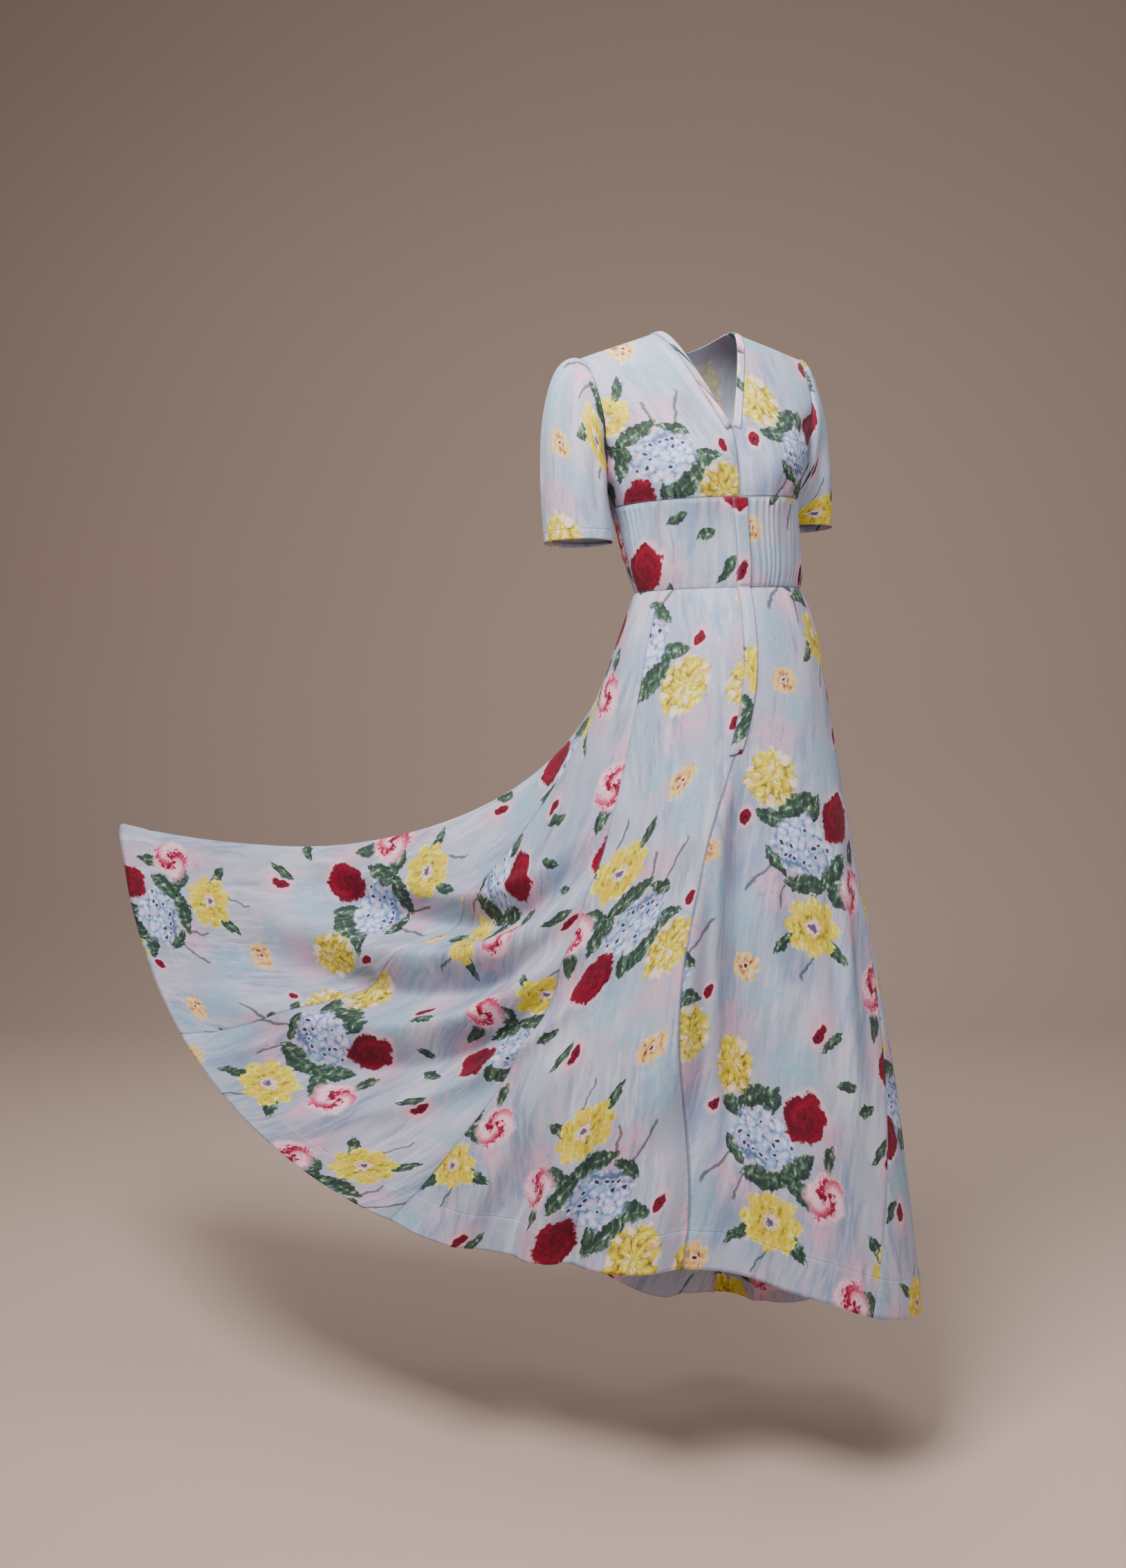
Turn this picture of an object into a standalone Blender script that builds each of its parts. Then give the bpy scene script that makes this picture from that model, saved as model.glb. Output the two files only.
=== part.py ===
"""A long hostess gown with short sleeves, hollow as when worn, its skirt swung out to the wearer's right.

Metres, +Z up. The gown faces -Y and +X is the wearer's left. The origin is the middle of the neck
opening, level with the side neck points, where the wearer's shoulders hold the gown up.

Every piece of cloth is a wall between two grids of points: one on the outside of a surface and one moved
in by the thickness of the cloth. Two surfaces carry the pieces of the body: the trunk, and the skirt that
hangs from its waist. The sleeves spring out of the trunk's armholes.
"""

import math

import bmesh
import bpy
import numpy as np

# The cloth and its seams
CLOTH = 0.0015            # thickness of the wall
TURNED_HEM = 0.0009       # what a turned-up hem adds to it
SEAM_GAP = 0.0003         # between two pieces that are sewn together
FOLDED_GAP = 0.0005       # between two gores, where folds run over the seam
WELD = 1e-6               # where a tube's last column meets its first
SHARP_ANGLE = 50          # degrees between faces, above which an edge is drawn sharp

# Heights, as drops below the side neck points
NECK_V = 0.148            # foot of the V neckline
BACK_NECK = 0.020         # middle of the back neckline
UNDERARM = 0.195
UNDERBUST = 0.241         # seam under the bust
WAIST = 0.358             # waist seam

# Neck and shoulders
NECK_HALF = 0.056         # side neck point, from the middle
SHOULDER_HALF = 0.176     # shoulder tip, where the sleeve is set in
SHOULDER_DROP = 0.036     # the tip, below the side neck point
SHOULDER_FADE = (0.05, 0.20)   # the drops between which the slope of the shoulders dies out

# Bust
BUST_OUT = 0.020
BUST_HALF_APART = 0.070
BUST_DROP = 0.192
BUST_WIDE = 0.045
BUST_TALL = 0.040
BUST_FADE = 0.6           # cosine of the bearing from which the swell is whole

# Sleeves: the middle of each hem, and how strongly its cap springs out from the shoulder
SLEEVES = (
    # name, side, left, back, drop, spring
    ("sleeve_right", -1, -0.181, 0.000, 0.298, 0.195),
    ("sleeve_left", 1, 0.187, 0.020, 0.258, 0.095),
)
SLEEVE_HEM_HALF = (0.044, 0.058)   # across the body, and front to back
SLEEVE_TURN = 0.93             # share of the sleeve where its turned hem starts
CAP_FADE = 1.3                 # how fast the spring of the cap dies out towards the underarm
CAP_RISE = 0.012               # how far the cap rises before it falls
SIDE_SPRING = 0.012            # how far the sleeve springs out beside the armhole
SIDE_ROUND = 0.030             # how far it rounds out to the front and the back there
UNDER_FALL = 0.13              # how steeply it falls from the underarm
SLEEVE_DROP_END = 0.95         # how straight it comes down to its hem
SLEEVE_ROW_CROWD = 1.15        # how much closer its rows are at the top
SLEEVE_SETTLE = 0.25           # share of the sleeve over which its wall turns out of the armhole's plane

# Trims
NECK_BAND_WIDE = 0.012
BAND_CLOTH = 0.0011
BAND_LIFT = 0.0006             # how far it lies off the bodice
BAND_FOOT = 0.002              # how far above the foot of the V it ends
LAP_HALF = 0.010               # the lapped strip over the front opening
LAP_LIFT = 0.0008              # how far it lies off the cloth below
LAP_FOOT = 0.25                # share of the skirt's length where the lap ends

# Skirt
WAIST_FLARE = 0.065            # how far out it has gone by the end of its first fall
HIP_SWELL = 0.011              # how far the hips round it out
HIP_AT = 0.11                  # share of its length where they do
HEM_TURN = 0.95                # share of the skirt where its turned hem starts

# The trunk at each drop: half its width, its depth in front of and behind the side seams, how square it is
TRUNK = (
    # drop, half width, front, back, squareness
    (0.000, 0.215, 0.000, 0.000, 2.5),
    (0.010, 0.215, 0.027, 0.031, 2.5),
    (0.030, 0.214, 0.047, 0.051, 2.5),
    (0.060, 0.208, 0.066, 0.070, 2.5),
    (0.100, 0.190, 0.084, 0.087, 2.4),
    (0.150, 0.166, 0.099, 0.096, 2.3),
    (0.195, 0.151, 0.106, 0.096, 2.2),
    (0.241, 0.134, 0.106, 0.090, 2.1),
    (0.300, 0.129, 0.099, 0.083, 2.0),
    (0.335, 0.125, 0.093, 0.080, 2.0),
    (0.358, 0.119, 0.088, 0.078, 2.0),
    (0.420, 0.132, 0.098, 0.096, 2.0),
)

# The armhole: how far out its edge is at each drop, down to the underarm point on the side seam
ARMHOLE = (
    # drop, from the middle
    (0.000, 0.176),
    (0.004, 0.174),
    (0.014, 0.172),
    (0.030, 0.170),
    (0.052, 0.168),
    (0.076, 0.166),
    (0.100, 0.164),
    (0.124, 0.161),
    (0.146, 0.158),
    (0.165, 0.155),
    (0.181, 0.152),
    (UNDERARM, 0.151),
)

# How the wearer stands: hips forward and to the left, the left shoulder up, the hips turned to the right
POSE = (
    # drop, shift to the left, shift back, tilt in degrees, turn in degrees
    (0.000, -0.005, 0.000, 5.5, 0.0),
    (0.150, -0.004, -0.005, 5.0, 1.0),
    (0.241, 0.002, -0.017, 3.6, 4.0),
    (0.358, 0.016, -0.034, 2.4, 8.0),
    (0.420, 0.018, -0.040, 1.8, 12.0),
)

# The hem, once round from the centre front seam by way of the wearer's right, as stations. Each row gives
# where the hem hangs, how far the cloth falls from the waist before it swings out, and how it then comes to
# the hem: what share of the way out it has gone by then, and how far above the hem it is there (below it,
# if negative).
STATIONS = (
    # share, left, back, drop, fall, carry, sag
    (0.000, -0.121, -0.186, 1.248, 0.30, 0.62, -0.30),
    (0.040, -0.230, -0.110, 1.252, 0.32, 0.58, -0.27),
    (0.080, -0.325, -0.025, 1.248, 0.36, 0.54, -0.20),
    (0.120, -0.425, 0.078, 1.222, 0.40, 0.50, -0.12),
    (0.160, -0.507, 0.181, 1.181, 0.42, 0.48, -0.06),
    (0.205, -0.585, 0.290, 1.112, 0.42, 0.46, 0.00),
    (0.250, -0.645, 0.410, 1.020, 0.40, 0.44, 0.04),
    (0.295, -0.680, 0.515, 0.915, 0.37, 0.42, 0.06),
    (0.340, -0.700, 0.590, 0.790, 0.33, 0.40, 0.08),
    (0.372, -0.697, 0.640, 0.712, 0.30, 0.40, 0.085),
    (0.410, -0.590, 0.640, 0.850, 0.32, 0.42, 0.04),
    (0.470, -0.410, 0.510, 1.070, 0.36, 0.46, -0.08),
    (0.540, -0.210, 0.330, 1.270, 0.34, 0.50, -0.20),
    (0.610, -0.050, 0.175, 1.395, 0.30, 0.56, -0.32),
    (0.680, 0.085, 0.112, 1.435, 0.30, 0.62, -0.36),
    (0.740, 0.190, 0.062, 1.437, 0.30, 0.66, -0.36),
    (0.795, 0.272, -0.020, 1.422, 0.30, 0.70, -0.36),
    (0.845, 0.304, -0.125, 1.398, 0.30, 0.78, -0.36),
    (0.885, 0.242, -0.225, 1.352, 0.30, 0.80, -0.35),
    (0.925, 0.120, -0.282, 1.316, 0.30, 0.72, -0.33),
    (0.965, 0.000, -0.250, 1.268, 0.30, 0.64, -0.31),
)

# The centre front seam sways to the wearer's right on its way down, and its cloth with it
SWAY = 0.030              # how far, as a share of the way round
SWAY_HALF = 0.042         # half the width of the cloth that goes with it
SWAY_FALLS = (0.10, 0.40, 0.48, 0.95)   # where it starts, is full, starts to go back, and is back

# The largest folds of the skirt: a ridge stands out from the cloth and a trough, of negative depth, goes
# in. Each runs through three places: a third and two thirds of the way down, and at the hem. It starts, is
# full, leaves and ends at shares of the way down.
FOLDS = (
    # share at a third, at two thirds, at the hem, half width as a share, depth, starts, is full, leaves, ends
    (0.008, -0.008, -0.024, 0.0100, -0.022, 0.27, 0.46, 0.56, 0.86),
    (0.016, -0.006, -0.015, 0.0130, -0.032, 0.48, 0.82, 1.20, 1.50),
    (0.038, 0.018, 0.012, 0.0110, 0.010, 0.27, 0.50, 1.20, 1.50),
    (-0.040, -0.042, -0.046, 0.0120, 0.012, 0.40, 0.95, 1.20, 1.50),
    (-0.058, -0.054, -0.060, 0.0100, -0.009, 0.30, 0.85, 1.20, 1.50),
    (-0.120, -0.088, -0.074, 0.0100, -0.007, 0.20, 0.60, 1.20, 1.50),
    (0.060, 0.042, 0.030, 0.0130, 0.012, 0.40, 0.90, 1.20, 1.50),
    (-0.060, -0.005, 0.052, 0.0140, -0.018, 0.58, 0.88, 1.20, 1.50),
    (0.090, 0.074, 0.064, 0.0100, 0.016, 0.60, 0.92, 1.20, 1.50),
    (0.105, 0.092, 0.080, 0.0100, -0.024, 0.60, 0.92, 1.20, 1.50),
    (0.125, 0.118, 0.108, 0.0140, 0.012, 0.45, 0.85, 1.20, 1.50),
    (0.010, 0.140, 0.180, 0.0180, -0.014, 0.42, 0.62, 0.68, 0.92),
    (0.060, 0.196, 0.215, 0.0220, -0.036, 0.38, 0.61, 0.68, 0.94),
    (0.090, 0.230, 0.265, 0.0190, 0.018, 0.36, 0.58, 0.70, 0.96),
    (0.120, 0.262, 0.305, 0.0220, -0.036, 0.34, 0.58, 0.68, 0.94),
    (0.155, 0.292, 0.325, 0.0180, 0.018, 0.28, 0.50, 0.70, 0.96),
    (0.185, 0.318, 0.335, 0.0200, -0.028, 0.24, 0.46, 0.62, 0.84),
    (0.450, 0.435, 0.430, 0.0200, -0.014, 0.30, 0.60, 0.80, 1.10),
    (0.490, 0.480, 0.475, 0.0220, 0.022, 0.30, 0.70, 1.20, 1.50),
    (0.540, 0.535, 0.530, 0.0220, -0.028, 0.30, 0.75, 1.20, 1.50),
    (0.590, 0.588, 0.585, 0.0220, 0.022, 0.30, 0.80, 1.20, 1.50),
    (0.640, 0.640, 0.640, 0.0220, -0.026, 0.30, 0.80, 1.20, 1.50),
    (0.695, 0.695, 0.695, 0.0200, 0.020, 0.35, 0.85, 1.20, 1.50),
    (0.745, 0.745, 0.745, 0.0180, -0.018, 0.35, 0.85, 1.20, 1.50),
    (0.800, 0.800, 0.800, 0.0200, 0.014, 0.40, 0.90, 1.20, 1.50),
    (0.865, 0.868, 0.870, 0.0160, -0.010, 0.40, 0.90, 1.20, 1.50),
)

# The seams of the skirt, as shares of the way round, and the gores between them with their columns of faces
SKIRT_SEAMS = (
    # at the waist, at the hem
    (0.000, 0.000),
    (0.167, 0.122),
    (0.333, 0.253),
    (0.500, 0.460),
    (0.667, 0.690),
    (0.833, 0.926),
    (1.000, 1.000),
)
GORES = (
    ("skirt_front_right", 19),
    ("skirt_side_right", 21),
    ("skirt_back_right", 16),
    ("skirt_back_left", 11),
    ("skirt_side_left", 11),
    ("skirt_front_left", 12),
)
SKIRT_ROWS = (
    # share of the way down, faces from the row above
    (0.00, 0),
    (0.28, 5),
    (0.80, 20),
    (1.00, 4),
)

# The gathers of the midriff fronts: how many, how high each stands at the underbust seam, the share of the
# midriff's height that they fade over, and the share of their own height that they keep below it
GATHERS = {
    "right": {"count": 10, "height": 0.0012, "fade": 0.75, "rest": 0.0},
    "left": {"count": 16, "height": 0.0013, "fade": 0.15, "rest": 0.45},
}
GATHER_COLUMNS = 3             # faces across one gather
GATHER_ENDS = 8                # they rise over an eighth of the width from each side

BODICE_COLUMNS = 8
BODICE_ROW_DROP = 0.022
MIDRIFF_ROWS = 4
SLEEVE_ROWS = 8
BAND_FRONT_ROWS = 14
BAND_BACK_ROWS = 6
CLOTH_COLOURS = {
    "bodice": (0.56, 0.62, 0.68),
    "midriff": (0.60, 0.63, 0.70),
    "skirt": (0.55, 0.60, 0.67),
    "sleeve": (0.57, 0.61, 0.69),
    "neck": (0.40, 0.52, 0.66),
    "front": (0.58, 0.58, 0.64),
}


def smooth_step(value, start, end):
    """0 before start, 1 after end, with a soft rise between."""
    share = np.clip((value - start) / (end - start), 0.0, 1.0)
    return share * share * (3 - 2 * share)


def column(table, index):
    return np.array([row[index] for row in table], float)


def hermite(knots, values, slopes, where):
    """A smooth curve through values at knots, with the given slopes there."""
    span = np.clip(np.searchsorted(knots, where, side="right") - 1, 0, len(knots) - 2)
    width = knots[span + 1] - knots[span]
    t = (where - knots[span]) / width
    start, end = values[span], values[span + 1]
    rise_start, rise_end = slopes[span] * width, slopes[span + 1] * width
    return (
        start * (2 * t**3 - 3 * t**2 + 1)
        + rise_start * (t**3 - 2 * t**2 + t)
        + end * (3 * t**2 - 2 * t**3)
        + rise_end * (t**3 - t**2)
    )


def down_table(table, index, drop):
    """A column of a table whose first column is a drop, read at any drop. It is read against the root of the
    drop, so that a depth that starts from nothing at the shoulders rounds over there."""
    knots = np.sqrt(column(table, 0))
    values = column(table, index)
    where = np.sqrt(np.clip(drop, 0.0, table[-1][0]))
    return hermite(knots, values, np.gradient(values, knots), where)


def round_table(table, index, share):
    """A column of a table whose first column is a share of the way round, read at any share."""
    knots, values = column(table, 0), column(table, index)
    knots = np.concatenate([knots[-2:] - 1, knots, knots[:2] + 1])
    values = np.concatenate([values[-2:], values, values[:2]])
    return hermite(knots, values, np.gradient(values, knots), np.mod(share, 1.0))


def power(value, exponent):
    """value raised to exponent, keeping its sign."""
    return np.sign(value) * np.abs(value) ** exponent


def posed(points):
    """Points of the upright figure, moved as the wearer stands."""
    drop = np.clip(-points[..., 2], 0.0, POSE[-1][0])
    left, back, tilt, turn = (down_table(POSE, index, drop) for index in range(1, 5))
    tilt, turn = np.radians(tilt), np.radians(turn)
    x = points[..., 0] * np.cos(turn) + points[..., 1] * np.sin(turn)
    y = points[..., 1] * np.cos(turn) - points[..., 0] * np.sin(turn)
    return np.stack([x + left, y + back, points[..., 2] + x * np.tan(tilt)], axis=-1)


def trunk(bearing, root):
    """The trunk's surface: bearing is 0 at the centre front, a quarter turn at the wearer's left side seam
    and a half turn at the centre back, and negative on the wearer's right. root is the root of the drop."""
    drop = root * root
    half = down_table(TRUNK, 1, drop)
    front, back = down_table(TRUNK, 2, drop), down_table(TRUNK, 3, drop)
    exponent = 2 / down_table(TRUNK, 4, drop)
    x = half * power(np.sin(bearing), exponent)
    depth = np.where(np.cos(bearing) > 0, front, back)
    y = -depth * power(np.cos(bearing), exponent)
    slope = np.clip((np.abs(x) - NECK_HALF) / (SHOULDER_HALF - NECK_HALF), 0.0, 1.0)
    z = -drop - SHOULDER_DROP * slope * (1 - smooth_step(drop, *SHOULDER_FADE))
    swell = np.exp(
        -0.5 * ((np.abs(x) - BUST_HALF_APART) / BUST_WIDE) ** 2 - 0.5 * ((z + BUST_DROP) / BUST_TALL) ** 2
    )
    y = y - BUST_OUT * swell * smooth_step(np.cos(bearing), 0.0, BUST_FADE)
    return np.stack([x, y, z], axis=-1)


def bearing_of(from_middle, drop):
    """The bearing on the front of the trunk of a point that is so far from the middle."""
    half, squareness = down_table(TRUNK, 1, drop), down_table(TRUNK, 4, drop)
    share = np.clip(from_middle / half, -1.0, 1.0)
    return np.arcsin(power(share, squareness / 2))


def moved_out(shape, first, second, distance):
    """Points of a surface, moved along its normal, which it finds from steps to either side."""
    step = 1e-4
    across = shape(first + step, second) - shape(first - step, second)
    along = shape(first, second + step) - shape(first, np.maximum(second - step, 0.0))
    normal = np.cross(along, across)
    normal /= np.linalg.norm(normal, axis=-1, keepdims=True)
    return shape(first, second) + normal * np.asarray(distance)[..., None]


def sewn_edges(outer, inner, edges, gap=SEAM_GAP):
    """Draws the named edges of a wall back by half the gap of a seam, square to the edge."""
    for edge in edges:
        rim, next_in = {
            "top": ((0,), (1,)),
            "bottom": ((-1,), (-2,)),
            "start": ((slice(None), 0), (slice(None), 1)),
            "end": ((slice(None), -1), (slice(None), -2)),
        }[edge]
        way = outer[next_in] - outer[rim]
        along = np.gradient(outer[rim], axis=-2)
        along /= np.linalg.norm(along, axis=-1, keepdims=True)
        way -= along * (way * along).sum(axis=-1, keepdims=True)
        way *= gap / 2 / np.linalg.norm(way, axis=-1, keepdims=True)
        outer[rim] += way
        inner[rim] += way
    return outer, inner


def add_wall(name, outer, inner, colour, tube=False):
    """One closed solid between two grids of points. A tube's last column is welded to its first."""
    rows, columns = outer.shape[:2]
    cloth = bmesh.new()
    bmesh.ops.create_grid(cloth, x_segments=columns - 1, y_segments=rows - 1, size=1.0)
    number = cloth.verts.layers.int.new("number")
    for index, vert in enumerate(cloth.verts):
        vert.co = outer[index // columns, index % columns]
        vert[number] = index
    if tube:
        bmesh.ops.remove_doubles(cloth, verts=cloth.verts[:], dist=WELD)
    raised = bmesh.ops.extrude_face_region(cloth, geom=cloth.faces[:], use_keep_orig=True)
    for vert in raised["geom"]:
        if isinstance(vert, bmesh.types.BMVert):
            vert.co = inner[vert[number] // columns, vert[number] % columns]
    bmesh.ops.recalc_face_normals(cloth, faces=cloth.faces[:])

    mesh = bpy.data.meshes.new(name)
    cloth.to_mesh(mesh)
    cloth.free()
    mesh.shade_smooth()
    mesh.set_sharp_from_angle(angle=math.radians(SHARP_ANGLE))
    mesh.materials.append(cloth_material(name, colour))
    gown.objects.link(bpy.data.objects.new(name, mesh))


def cloth_material(name, colour):
    material = bpy.data.materials.new(name)
    material.use_nodes = True
    shader = material.node_tree.nodes["Principled BSDF"]
    shader.inputs["Base Color"].default_value = (*CLOTH_COLOURS[colour], 1.0)
    shader.inputs["Roughness"].default_value = 0.8
    shader.inputs["Metallic"].default_value = 0.0
    return material


def trunk_wall(bearings, roots, edges, cloth=CLOTH, out=0.0):
    """The two grids of a piece on the trunk, out being how far it lies above it."""
    outer = moved_out(trunk, bearings, roots, out)
    inner = moved_out(trunk, bearings, roots, out - cloth)
    return [posed(grid) for grid in sewn_edges(outer, inner, edges)]


def neckline(drop):
    """How far out the front neckline is, at a drop."""
    return NECK_HALF * np.clip(1 - drop / NECK_V, 0.0, 1.0)


def armhole_edge(drop):
    """The bearing of the armhole's edge, or of the side seam below it."""
    from_middle = np.interp(drop, column(ARMHOLE, 0), column(ARMHOLE, 1))
    return np.where(drop >= UNDERARM - 1e-6, math.pi / 2, bearing_of(from_middle, drop))


def bodice_drops(lowest):
    """The rows of a bodice piece, down from the shoulder: the armhole's, the foot of the V, and the rest."""
    below = np.linspace(UNDERARM, lowest, round((lowest - UNDERARM) / BODICE_ROW_DROP) + 1)[1:-1]
    drops = [*column(ARMHOLE, 0), NECK_V, *below, lowest]
    return np.array(sorted(set(np.round(drops, 4))))


def bodice_front(name, side):
    drops = bodice_drops(UNDERBUST)
    start = bearing_of(neckline(drops), drops)
    end = armhole_edge(drops)
    share = np.linspace(0, 1, BODICE_COLUMNS + 1)
    bearings = start[:, None] + (end - start)[:, None] * share
    roots = np.sqrt(drops)[:, None] + 0 * bearings
    if side < 0:
        bearings = -bearings[:, ::-1]
    outer, inner = trunk_wall(bearings, roots, ("top", "bottom", "start", "end"))
    add_wall(name, outer, inner, "bodice")


def bodice_back():
    """The whole back, from the shoulders to the waist."""
    drops = bodice_drops(WAIST)
    end = math.pi - armhole_edge(drops)
    share = np.linspace(-1, 1, 2 * BODICE_COLUMNS + 1)
    bearings = math.pi + (math.pi - end)[:, None] * -share
    top = BACK_NECK * np.clip(1 - (bearing_from_middle(bearings, drops) / NECK_HALF) ** 2, 0.0, 1.0)
    lowered = drops[:, None] + top * (1 - drops[:, None] / WAIST)
    outer, inner = trunk_wall(bearings, np.sqrt(lowered), ("top", "bottom", "start", "end"))
    add_wall("bodice_back", outer, inner, "bodice")


def bearing_from_middle(bearings, drops):
    """How far from the middle each point of a grid of bearings is."""
    half, squareness = down_table(TRUNK, 1, drops), down_table(TRUNK, 4, drops)
    return half[:, None] * np.abs(np.sin(bearings)) ** (2 / squareness[:, None])


def midriff_front(name, side, gathers):
    columns = gathers["count"] * GATHER_COLUMNS
    share = np.linspace(0, 1, columns + 1)
    down = np.linspace(0, 1, MIDRIFF_ROWS + 1)
    drops = UNDERBUST + (WAIST - UNDERBUST) * down
    bearings = np.broadcast_to(share * math.pi / 2, (len(down), columns + 1))
    strength = gathers["height"] * np.maximum(1 - down / gathers["fade"], gathers["rest"])
    ripple = 0.5 - 0.5 * np.cos(2 * math.pi * gathers["count"] * share)
    ends = np.minimum(1.0, GATHER_ENDS * share) * np.minimum(1.0, GATHER_ENDS * (1 - share))
    raised = strength[:, None] * ripple * ends
    roots = np.sqrt(drops)[:, None] + 0 * bearings
    if side < 0:
        bearings, raised = -bearings[:, ::-1], raised[:, ::-1]
    outer, inner = trunk_wall(bearings, roots, ("top", "bottom", "start", "end"), out=raised)
    add_wall(name, outer, inner, "midriff")


def neck_band():
    """The band that finishes the neckline, from the foot of the V round the back of the neck and down."""
    front = np.linspace(math.sqrt(NECK_V - BAND_FOOT), 0.0, BAND_FRONT_ROWS + 1) ** 2
    back = np.linspace(0.0, math.sqrt(BACK_NECK), BAND_BACK_ROWS + 1)[1:] ** 2
    lie = math.atan2(NECK_HALF, NECK_V)
    across = np.linspace(0.0, NECK_BAND_WIDE, 3)
    bearings, roots = [], []
    for drop in front:
        turn = lie * min(1.0, drop / BACK_NECK)
        drops = drop + across * math.sin(turn)
        from_middle = neckline(drop) + across * math.cos(turn)
        bearings.append(bearing_of(from_middle, drops))
        roots.append(np.sqrt(drops))
    for drop in back:
        turn = math.pi / 2 * drop / BACK_NECK
        drops = drop + across * math.sin(turn)
        from_middle = NECK_HALF * math.sqrt(1 - drop / BACK_NECK) + across * math.cos(turn)
        bearings.append(math.pi - bearing_of(from_middle, drops))
        roots.append(np.sqrt(drops))
    bearings, roots = np.array(bearings), np.array(roots)
    bearings = np.concatenate([bearings, 2 * math.pi - bearings[-2::-1]])
    roots = np.concatenate([roots, roots[-2::-1]])
    outer, inner = trunk_wall(
        bearings[::-1].T, roots[::-1].T, ("start", "end"), cloth=BAND_CLOTH, out=BAND_LIFT + BAND_CLOTH
    )
    add_wall("neck_band", outer, inner, "neck")


def armhole_ring():
    """The armhole of the wearer's left, from the shoulder tip by the front to the underarm and back up."""
    drops = column(ARMHOLE, 0)
    bearings = armhole_edge(drops)
    front = trunk(bearings, np.sqrt(drops))
    back = trunk(math.pi - bearings, np.sqrt(drops))
    return np.concatenate([front, back[-2:0:-1]])


def sleeve(name, side, left, back, drop, cap):
    """A set-in sleeve: it springs out of the armhole over the shoulder and hangs straight to its hem."""
    ring = posed((armhole_ring() + np.array([SEAM_GAP * 1.5, 0, 0])) * np.array([side, 1, 1]))
    steps = np.linalg.norm(np.diff(ring, axis=0, append=ring[:1]), axis=1)
    along = np.concatenate([[0], np.cumsum(steps)[:-1]]) / steps.sum()
    turn = 2 * math.pi * along
    under = (1 - np.cos(turn)) / 2
    spring = np.stack(
        [
            side * (cap * (1 - under) ** CAP_FADE + SIDE_SPRING * np.sin(math.pi * under)),
            -SIDE_ROUND * np.sin(turn),
            CAP_RISE * (1 - under) ** 4 - UNDER_FALL * under**1.5,
        ],
        axis=-1,
    )
    hem = np.stack(
        [
            left + side * SLEEVE_HEM_HALF[0] * np.cos(turn),
            back - SLEEVE_HEM_HALF[1] * np.sin(turn),
            -drop + 0 * turn,
        ],
        axis=-1,
    )
    length = ring[:, 2] + drop
    straight = np.stack([0 * turn, 0 * turn, -length * SLEEVE_DROP_END], axis=-1)
    t = np.linspace(0, 1, SLEEVE_ROWS + 1)[:, None, None] ** SLEEVE_ROW_CROWD
    outer = (
        ring * (2 * t**3 - 3 * t**2 + 1)
        + spring * (t**3 - 2 * t**2 + t)
        + hem * (3 * t**2 - 2 * t**3)
        + straight * (t**3 - t**2)
    )
    wrapped = np.concatenate([outer[:, -1:], outer, outer[:, :1]], axis=1)
    normal = side * np.cross(wrapped[:, 2:] - wrapped[:, :-2], np.gradient(outer, axis=0))
    normal /= np.linalg.norm(normal, axis=-1, keepdims=True)
    radial = ring - ring.mean(axis=0)
    radial[:, 0] = 0
    radial /= np.linalg.norm(radial, axis=-1, keepdims=True)
    normal = radial + (normal - radial) * smooth_step(t, 0.0, SLEEVE_SETTLE)
    normal /= np.linalg.norm(normal, axis=-1, keepdims=True)
    cloth = CLOTH + TURNED_HEM * (t > SLEEVE_TURN)
    inner = outer - normal * cloth
    outer, inner = (np.concatenate([grid, grid[:, :1]], axis=1) for grid in (outer, inner))
    add_wall(name, outer, inner, "sleeve", tube=True)


def skirt_base(share, fall):
    """The skirt without its folds, at a share of the way round from the centre front seam, by the wearer's
    right, and a share of the way down from the waist."""
    bearing = -2 * math.pi * share
    waist = posed(trunk(bearing, np.sqrt(WAIST) + 0 * bearing))
    left, back, drop, straight, carry, sag = (round_table(STATIONS, index, share) for index in range(1, 7))
    hem = np.stack([left, back, -drop], axis=-1)
    middle = posed(np.array([0.0, 0.0, -WAIST]))
    outward = waist - middle
    outward[..., 2] = 0
    outward /= np.linalg.norm(outward, axis=-1, keepdims=True)
    first = waist + outward * WAIST_FLARE
    first[..., 2] -= straight
    second = first + (hem - first) * carry[..., None]
    second[..., 2] = hem[..., 2] - sag
    t = fall[..., None]
    hips = outward * HIP_SWELL * t / HIP_AT * np.exp(1 - t / HIP_AT)
    upper = waist * (1 - t) ** 3 + first * 3 * t * (1 - t) ** 2
    return hips + upper + second * 3 * t * t * (1 - t) + hem * t**3


def fold_height(share, fall):
    """How far the folds lift the skirt out of its plain surface."""
    height = np.zeros(np.broadcast(share, fall).shape)
    for third, two_thirds, foot, wide, depth, starts, full, leaves, ends in FOLDS:
        rise = 3 * (1 - fall)
        bend = (third - 2 * two_thirds + foot) / 2
        line = foot + (two_thirds - foot - bend) * rise + bend * rise * rise
        apart = (share - line + 0.5) % 1.0 - 0.5
        strength = smooth_step(fall, starts, full) * (1 - smooth_step(fall, leaves, ends))
        height = height + depth * strength * np.exp(-0.5 * (apart / wide) ** 2)
    return height


def skirt(share, fall):
    """The skirt's surface at a share of the cloth round from the centre front seam."""
    starts, full, leaves, back = SWAY_FALLS
    apart = (share + 0.5) % 1.0 - 0.5
    sway = SWAY * smooth_step(fall, starts, full) * (1 - smooth_step(fall, leaves, back))
    place = share + sway * np.exp(-0.5 * (apart / SWAY_HALF) ** 2)
    step = 1e-3
    across = skirt_base(place + step, fall) - skirt_base(place - step, fall)
    down = skirt_base(place, fall + step) - skirt_base(place, fall - step)
    normal = np.cross(across, down)
    normal /= np.linalg.norm(normal, axis=-1, keepdims=True)
    return skirt_base(place, fall) + normal * fold_height(place, fall)[..., None]


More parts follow.
